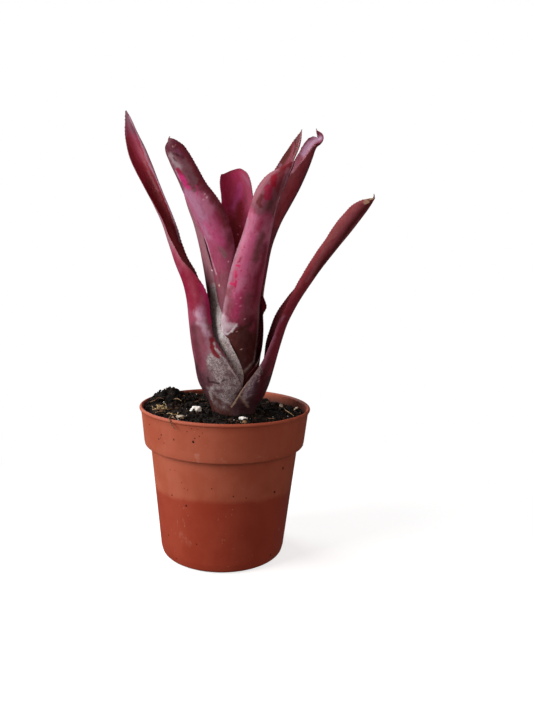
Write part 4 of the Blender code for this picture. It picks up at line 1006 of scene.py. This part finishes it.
def paintPot(body):
    place = np.empty(len(body.data.vertices) * 3)
    body.data.vertices.foreach_get("co", place)
    x, y, z = place.reshape(-1, 3).T / mm
    radius, azimuth = np.hypot(x, y), np.arctan2(y, x) % (2 * math.pi)
    around = np.degrees(azimuth) * pot["perDegree"]
    outside = radius > np.array([outerRadius(h) - 0.7 for h in z])
    drift = np.array([noise.noise(Vector((math.cos(a) * 4, math.sin(a) * 4, 2))) for a in azimuth])
    fray = np.array([noise.noise(Vector((s / 2.5, h / 2.5, 5))) for s, h in zip(around, z)])
    line = pot["moistLine"] - pot["moistRise"] * np.sin(azimuth) + 1.6 * drift + 0.8 * fray
    scuff = np.zeros(len(z))
    for width, soft, strength, spots in wallScuffs:
        gap = strokeDistance([(h, a * pot["perDegree"]) for a, h in spots], z, around) + 0.8 * soft * fray
        scuff = np.maximum(scuff, strength * smoothed((width + soft - gap) / (2 * soft)))
    low = np.array([soilHeight(a, b) for a, b in zip(x, y)])
    # painted shade: the inner wall darkens towards its right side, added to the soil stain just above the peat
    aside = np.abs(np.degrees(azimuth) - pot["shadeSide"] - 360 * (azimuth > 3))
    near = smoothed(1 - (z - low) / pot["earthBand"]) + 0.55 * smoothed(1 - aside / pot["shadeReach"])
    underLip = pot["height"] - 1
    inside = (radius < np.array([innerRadius(min(h, underLip)) + 0.3 for h in z])) * (z < underLip + 0.3)
    paint(body.data, "earthAndShade", np.clip(near + 0.5 * fray, 0, 1) * inside)
    paint(body.data, "moist", smoothed((line - z) / pot["moistFade"] + 0.5) * outside)
    paint(body.data, "scuff", scuff * outside)


def wallCrumbs():
    rng = random.Random(pot["speckSeed"])
    specks = []
    for azimuth, height, size in wallSpecks:
        speck = ball(2)
        for vertex in speck.data.vertices:
            vertex.co *= rng.uniform(0.7, 1.05)
        angle = math.radians(azimuth)
        reach = (outerRadius(height) if height > 3.5 else bodyRadius(height) - 0.6) + 0.02
        shape = Matrix.Diagonal((pot["speckThickness"], rng.uniform(0.7, 1.0), rng.uniform(0.7, 1.1), 1))
        shape *= size * pot["speckSize"] * mm
        shape[3][3] = 1
        place = Matrix.Translation((reach * mm * math.cos(angle), reach * mm * math.sin(angle), height * mm))
        speck.data.transform(place @ Matrix.Rotation(angle, 4, "Z") @ shape)
        specks.append(speck)
    return joined(specks)


# soil: a lumpy top over a plain body, with crumbs, bark and fibres strewn over it

soil = dict(
    mounds=[(-41, 21, 11, 7), (-38, -8, 14, 2.5), (-17, 41, 9, 1.2), (34, 24, 17, -2.5), (38, -14, 14, -1)],
    rings=60, steps=220, rough=1.9, roughLength=6.0, fine=1.1, fineLength=1.9,
    seed=11, edge=49.0, clear=14.0,           # nothing is strewn beyond the edge or nearer the plant than clear
    turn=6.28, tilt=0.45, fewLarge=2.2,       # how far strewn pieces turn, and how rare large ones are
    crumbs=1250, crumbSize=(0.3, 1.9), flecks=60, fleckSize=(0.25, 0.7), bark=45, barkSize=(0.7, 2.2),
    threads=95, threadLength=(2.5, 9), clods=40, clodSize=(1.4, 3.2), heap=(-38, 18), clodEdge=46,
    tufts={"straw_tuft": (22, (-38.5, -12.5), 4.2), "flake_straws": (7, (-27.0, -24.0), 2.4)},
    strawLength=(2.2, 5.0), strawLift=(0.4, 2.6), strawRadius=(0.14, 0.3), strawCurl=0.4, strawArch=2.2,
)


def soilHeight(x, y):
    height = crown.z
    for centreX, centreY, spread, rise in soil["mounds"]:
        height += rise * math.exp(-((x - centreX) ** 2 + (y - centreY) ** 2) / (2 * spread ** 2))
    return height


def soilTop(x, y):
    height = soilHeight(x, y)
    height += soil["rough"] * noise.noise(Vector((x / soil["roughLength"], y / soil["roughLength"], 3.0)))
    height += soil["fine"] * noise.noise(Vector((x / soil["fineLength"], y / soil["fineLength"], 9.0)))
    return height


def makeSoil():
    edge = innerRadius(crown.z) - 0.15
    profile = [(edge * (i + 1) / soil["rings"], crown.z) for i in range(soil["rings"])]
    profile += [(innerRadius(h) - 0.3, h) for h in (84, ledge + 2, ledge - 1, 40, 5)] + [(34, 2.2), (12, 2.2)]
    body = turnedSolid(profile, soil["steps"])
    for vertex in body.data.vertices:
        if vertex.co.z > (crown.z - 0.5) * mm:
            vertex.co.z = soilTop(vertex.co.x / mm, vertex.co.y / mm) * mm
    return body


def scatterPlace(rng, clear, edge):
    while True:
        x, y = rng.uniform(-edge, edge), rng.uniform(-edge, edge)
        if math.hypot(x, y) < edge and math.hypot(x - crown.x, y - crown.y) > clear:
            return x, y


def copies(pattern, transforms):              # points and faces of a pattern's copies, one after another
    pattern.calc_loop_triangles()
    points = np.array([v.co[:] for v in pattern.vertices])
    faces = np.array([f.vertices[:] for f in pattern.loop_triangles])
    allPoints = [points @ np.array(matrix.to_3x3()).T + np.array(matrix.translation) for matrix in transforms]
    allFaces = [faces + number * len(points) for number in range(len(transforms))]
    return np.concatenate(allPoints).tolist(), np.concatenate(allFaces).tolist()


def strewn(name, patterns, count, sizes, rng, sink, squash=(0.6, 1.0), flat=False):
    parts = []
    for pattern in patterns:
        matrices = []
        for _ in range(count // len(patterns)):
            x, y = scatterPlace(rng, soil["clear"], soil["edge"])
            size = sizes[0] + (sizes[1] - sizes[0]) * rng.random() ** soil["fewLarge"]
            turn = Matrix.Identity(4)
            for axis in "Z" if flat else "ZXY":
                turn = turn @ Matrix.Rotation(rng.uniform(0, soil["turn"]), 4, axis)
            if flat:
                turn = turn @ Matrix.Rotation(rng.uniform(-soil["tilt"], soil["tilt"]), 4, "Y")
            scale = Matrix.Diagonal((size, size * rng.uniform(*squash), size * rng.uniform(*squash), 1))
            spot = Matrix.Translation((x * mm, y * mm, (soilTop(x, y) + size * sink) * mm))
            matrices.append(spot @ turn @ scale @ Matrix.Scale(mm, 4))
        points, faces = copies(pattern, matrices)
        mesh = bpy.data.meshes.new(name)
        mesh.from_pydata(points, [], faces)
        part = bpy.data.objects.new(name, mesh)
        bpy.context.scene.collection.objects.link(part)
        parts.append(part)
        bpy.data.meshes.remove(pattern)
    return joined(parts)


def lumpy(point, shift, plain, coarse, fine):      # how far out a ball's point goes, with noise at two scales
    return (plain + coarse[0] * noise.noise(point * coarse[1] + shift)
            + fine[0] * noise.noise(point * fine[1] + shift))


def clods(rng):                               # bigger lumps of peat, most of them on the heap
    lumps = []
    for number in range(soil["clods"]):
        x, y = scatterPlace(rng, soil["clear"] + 3, soil["clodEdge"])
        if number % 3:
            x, y = soil["heap"][0] + rng.uniform(-9, 7), soil["heap"][1] + rng.uniform(-16, 11)
            if math.hypot(x, y) > soil["clodEdge"]:
                continue
        lump = ball(3)
        size = rng.uniform(*soil["clodSize"])
        shift = Vector((number * 3.7, 0, 0))
        for vertex in lump.data.vertices:
            vertex.co *= lumpy(vertex.co, shift, 0.85, (0.45, 1.6), (0.25, 4.2)) * size * mm
        lump.data.transform(Matrix.Translation((x * mm, y * mm, (soilTop(x, y) + 0.15 * size) * mm)))
        lumps.append(lump)
    return joined(lumps)


def tuft(rng, count, centre, spread):         # short dry straws that stick out of the peat together
    straws = []
    for _ in range(count):
        x, y = centre[0] + rng.uniform(-spread, spread), centre[1] + rng.uniform(-0.6, 0.6) * spread
        angle, length = rng.uniform(0, 2 * math.pi), rng.uniform(*soil["strawLength"])
        lift, low = rng.uniform(*soil["strawLift"]), soilTop(x, y) + 0.2
        points = []
        for t in (0, 0.35, 0.7, 1):
            turn = angle + soil["strawCurl"] * t
            points.append((x + t * length * math.cos(turn), y + t * length * math.sin(turn),
                           low + lift * math.sin(soil["strawArch"] * t)))
        width = rng.uniform(*soil["strawRadius"])
        straws.append(tube("straw", points, (width, width * 1.2, width, width * 0.6), 6, 5))
    return joined(straws)


def crumbPattern(rng):
    crumb = ball(1)
    for vertex in crumb.data.vertices:
        vertex.co *= rng.uniform(0.62, 1.05)
    mesh = crumb.data
    bpy.data.objects.remove(crumb)
    return mesh


def tube(name, points, radii, sides, resolution):      # a round strand along points, in millimetres
    bpy.ops.curve.primitive_bezier_curve_add(radius=1)
    strand = bpy.context.object
    strand.location = (0, 0, 0)
    spline = strand.data.splines[0]
    spline.bezier_points.add(len(points) - len(spline.bezier_points))
    for knot, point, radius in zip(spline.bezier_points, points, radii):
        knot.co = Vector(point) * mm
        knot.handle_left_type = knot.handle_right_type = "AUTO"
        knot.radius = radius
    strand.data.bevel_depth = mm
    strand.data.bevel_resolution = sides // 2 - 2
    strand.data.resolution_u = resolution
    strand.data.use_fill_caps = True
    pickOnly(strand)
    bpy.ops.object.convert(target="MESH")
    strand = bpy.context.object
    strand.name = strand.data.name = name
    return strand


def threadPattern(rng):
    bend = [(0, 0, 0), (0.3, rng.uniform(-0.15, 0.15), rng.uniform(0, 0.1)),
            (0.7, rng.uniform(-0.2, 0.2), rng.uniform(0, 0.12)), (1, rng.uniform(-0.2, 0.2), -0.02)]
    thread = tube("thread", bend, (0.028, 0.03, 0.024, 0.012), 4, 3)
    mesh = thread.data
    mesh.transform(Matrix.Scale(1 / mm, 4))
    bpy.data.objects.remove(thread)
    return mesh


# loose pieces: grains as centre x, y, length, width, height, turn, slot; strands as slot, radius and points

grains = {
    "perlite_large": (-17.4, -8.3, 7.9, 6.0, 5.4, 15, "grit_white"),
    "perlite_small": (12.1, -21.7, 5.6, 4.0, 2.8, -10, "grit_white"),
    "cream_flake": (-25.2, -27.6, 8.6, 3.0, 3.0, 24, "grit_cream"),
    "bark_chip": (13.5, -32.6, 4.6, 3.4, 3.0, 5, "bark"),
    "pale_grain": (34.8, 24.5, 4.4, 3.6, 3.4, 40, "grit_cream"),
}
strands = {
    "straw_long": ("straw", 0.45, [(-42.0, -19.5, 92.0), (-38.0, -20.5, 92.6), (-32.0, -17.5, 92.1)]),
    "straw_short": ("straw", 0.4, [(-39.5, -24.5, 91.4), (-36.0, -23.0, 92.0), (-34.0, -20.5, 91.6)]),
    "fibre_right": ("straw", 0.3, [(36.5, 2.4, 90.2), (38.0, -7.0, 90.8), (42.0, -16.5, 90.2)]),
    "fibre_back": ("straw", 0.3, [(-33.0, 3.0, 93.9), (-30.5, 2.6, 94.4), (-27.6, 0.8, 93.4)]),
    "shell_piece": ("grit_cream", 0.6, [(42.6, -1.0, 90.2), (44.4, 0.4, 91.4), (45.6, 2.8, 90.2)]),
    "root_thread": ("bark", 0.3, [(-24.5, -35.0, 90.6), (-26.6, -40.4, 91.8), (-27.8, -43.4, 93.4),
                                  (-27.4, -45.6, 92.0), (-25.6, -46.8, 89.6), (-23.2, -48.2, 87.2)]),
}


def makeGrain(x, y, length, width, height, turn):
    piece = ball(4)
    shift = Vector((x, y, 0))
    for vertex in piece.data.vertices:
        bump = lumpy(vertex.co, shift, 0.88, (0.30, 1.5), (0.14, 4.5))
        vertex.co = [part * bump * size / 2 * mm for part, size in zip(vertex.co, (length, width, height))]
    piece.rotation_euler = (0, 0, math.radians(turn))
    piece.location = (x * mm, y * mm, (soilHeight(x, y) + 0.15 * height) * mm)
    bpy.context.view_layer.update()
    settle(piece)
    return piece


# finishes

def potPlastic():
    recipe = Recipe("terracottaPlastic")
    place = recipe.place()
    moist, scuff = recipe.painted("moist"), recipe.painted("scuff")
    cloud = recipe.grain(place, 55, 4, 0.6).step(0.35, 0.68)
    streak = recipe.grain(recipe.stretched(place, (140, 140, 16)), 1, 3, 0.6).step(0.42, 0.7)
    fine = recipe.grain(place, 1300, 3, 0.7)
    dusty = recipe.mix(cloud, tone(166, 78, 54), tone(174, 88, 64))
    dusty = recipe.mix(streak * 0.12, dusty, tone(186, 112, 90))
    wet = recipe.mix(cloud, tone(152, 56, 36), tone(160, 63, 42))
    colour = recipe.mix(moist, dusty, wet)
    specks = recipe.cells(place, 330)
    dots = (1 - specks.step(0.05, 0.16)) * recipe.grain(place, 70, 2).step(0.48, 0.6)
    worn = (scuff * 0.7 + recipe.grain(place, 700, 4, 0.75) * 0.6).step(0.42, 0.85)
    pale = worn * scuff.step(0.02, 0.4) * 0.4 + dots * 0.3
    colour = recipe.mix(pale, colour, tone(205, 160, 140))
    grime = recipe.grain(place, 240, 5, 0.75)
    colour = recipe.mix(grime.step(0.62, 0.78) * 0.2, colour, tone(70, 36, 26))
    # soil stain and painted shade on the inner wall
    colour = recipe.mix(recipe.painted("earthAndShade") * (0.35 + 0.9 * grime), colour, tone(40, 24, 18))
    height = fine * 0.5 + recipe.grain(place, 220, 3) * 0.5
    rough = 0.5 + 0.14 * cloud + 0.12 * fine - 0.08 * moist
    return recipe.finish(colour=colour, roughness=rough, normal=recipe.bump(height, 0.25, 0.12), specular=0.3)


def peatSoil(name, dark, middle, light, scale, depth):
    recipe = Recipe(name)
    place = recipe.place()
    cloud = recipe.grain(place, scale, 4, 0.65)
    patch = recipe.grain(place, scale * 0.22, 2, 0.5)
    colour = recipe.mix(cloud.step(0.3, 0.62), tone(*dark), tone(*middle))
    colour = recipe.mix((cloud * 0.5 + patch * 0.5).step(0.52, 0.68), colour, tone(*light))
    fine = recipe.grain(place, scale * 3.3, 4, 0.7)
    return recipe.finish(colour=colour, roughness=0.75 + 0.2 * fine, specular=0.15,
                         normal=recipe.bump(fine + cloud, 0.7, depth))


def chalkyGrain(name, main, shade, stain, stainFrom, scale):
    recipe = Recipe(name)
    place = recipe.place()
    cloud = recipe.grain(place, scale, 4, 0.6)
    pits = recipe.cells(place, scale * 4).step(0.05, 0.4)
    colour = recipe.mix(cloud.step(0.35, 0.7), tone(*main), tone(*shade))
    stained = recipe.grain(place, scale * 0.6, 3).step(stainFrom, stainFrom + 0.12)
    colour = recipe.mix(stained, colour, tone(*stain))
    return recipe.finish(colour=colour, roughness=0.8 + 0.1 * cloud, specular=0.2,
                         normal=recipe.bump(pits * 0.6 + cloud * 0.6, 0.6, 0.25))


def dryFibre(name, dark, light):
    recipe = Recipe(name)
    place = recipe.place()
    streak = recipe.grain(recipe.stretched(place, (300, 900, 900)), 1, 3, 0.6)
    colour = recipe.mix(streak.step(0.35, 0.65), tone(*dark), tone(*light))
    return recipe.finish(colour=colour, roughness=0.6 + 0.2 * streak, normal=recipe.bump(streak, 0.5, 0.08),
                         specular=0.3)


plastic, skinFinish = potPlastic(), leafSkin()
peat = peatSoil("darkPeat", (7, 5, 4), (22, 15, 11), (44, 31, 23), 300, 0.6)
crumbFinish = peatSoil("peatCrumbs", (8, 5, 4), (26, 17, 12), (70, 48, 34), 200, 0.3)
barkFinish = peatSoil("redBark", (44, 24, 17), (92, 54, 36), (126, 84, 58), 380, 0.3)
mudFinish = peatSoil("driedMud", (44, 18, 13), (66, 28, 20), (88, 42, 31), 500, 0.2)
whiteGrit = chalkyGrain("whiteGrit", (252, 250, 246), (236, 232, 226), (176, 160, 142), 0.66, 500)
creamGrit = chalkyGrain("creamGrit", (238, 229, 212), (210, 196, 168), (150, 116, 66), 0.56, 420)
strawFinish = dryFibre("dryStraw", (112, 82, 54), (176, 146, 108))
rootFinish = dryFibre("thinRoot", (88, 60, 42), (150, 112, 82))
tuftFinish = dryFibre("tuftStraw", (150, 116, 70), (214, 192, 146))
spineFinish = dryFibre("leafSpine", (96, 44, 44), (150, 104, 100))
chipFinish = dryFibre("woodChip", (96, 66, 40), (160, 122, 80))

potWall = makePot()
paintPot(potWall)
ready(potWall, "pot_wall", plastic, 35, ["pot"])
ready(wallCrumbs(), "pot_specks", mudFinish, 60)
print("pot made")

ready(makeSoil(), "peat_bed", peat, 60, ["soil"])
rng = random.Random(soil["seed"])
crumbs = strewn("crumbs", [crumbPattern(rng) for _ in range(6)], soil["crumbs"], soil["crumbSize"], rng, 0.25)
ready(crumbs, "peat_crumbs", crumbFinish, 40)
ready(clods(rng), "peat_clods", peat, 50)
for name, place in soil["tufts"].items():
    ready(tuft(rng, *place), name, tuftFinish, 60)
flecks = strewn("flecks", [crumbPattern(rng) for _ in range(3)], soil["flecks"], soil["fleckSize"], rng, 0.3)
ready(flecks, "pale_flecks", whiteGrit, 60)
bark = strewn("bark", [crumbPattern(rng) for _ in range(4)], soil["bark"], soil["barkSize"], rng, 0.3,
              squash=(0.3, 0.8))
ready(bark, "bark_bits", barkFinish, 40)
threads = strewn("threads", [threadPattern(rng) for _ in range(5)], soil["threads"], soil["threadLength"], rng,
                 0.04, squash=(1, 1), flat=True)
ready(threads, "peat_fibres", rootFinish, 60)
print("soil made")

grainFinish = dict(grit_white=whiteGrit, grit_cream=creamGrit, bark=chipFinish, straw=strawFinish)
for node, (*shape, slot) in grains.items():
    ready(makeGrain(*shape), node + "_detail", grainFinish[slot], 60, [node])
for node, (slot, radius, points) in strands.items():
    taper = [radius * (0.35 if i in (0, len(points) - 1) else 1) for i in range(len(points))]
    finish = rootFinish if node == "root_thread" else grainFinish[slot]
    ready(tube(node, points, taper, 12, 8), node + "_detail", finish, 60, [node])
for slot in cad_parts["stem"].material_slots:
    slot.material = barkFinish
print("loose pieces made")

for seed, (node, form) in enumerate(leafForms.items(), 1):
    blade, layout = makeLeaf(node, form, seed)
    paintLeaf(blade, node, layout, seed)
    ready(blade, node.replace("leaf_", "blade_"), skinFinish, 50, [node])
    if node in spines:
        radii, steps = spines[node]
        tip = Vector(np.array(crown) + layout["tip"])
        spine = tube("spine", [tip + Vector(step) for step in steps], radii, 8, 6)
        ready(spine, node.replace("leaf_", "spine_"), spineFinish, 60)
    print("leaf made:", node)
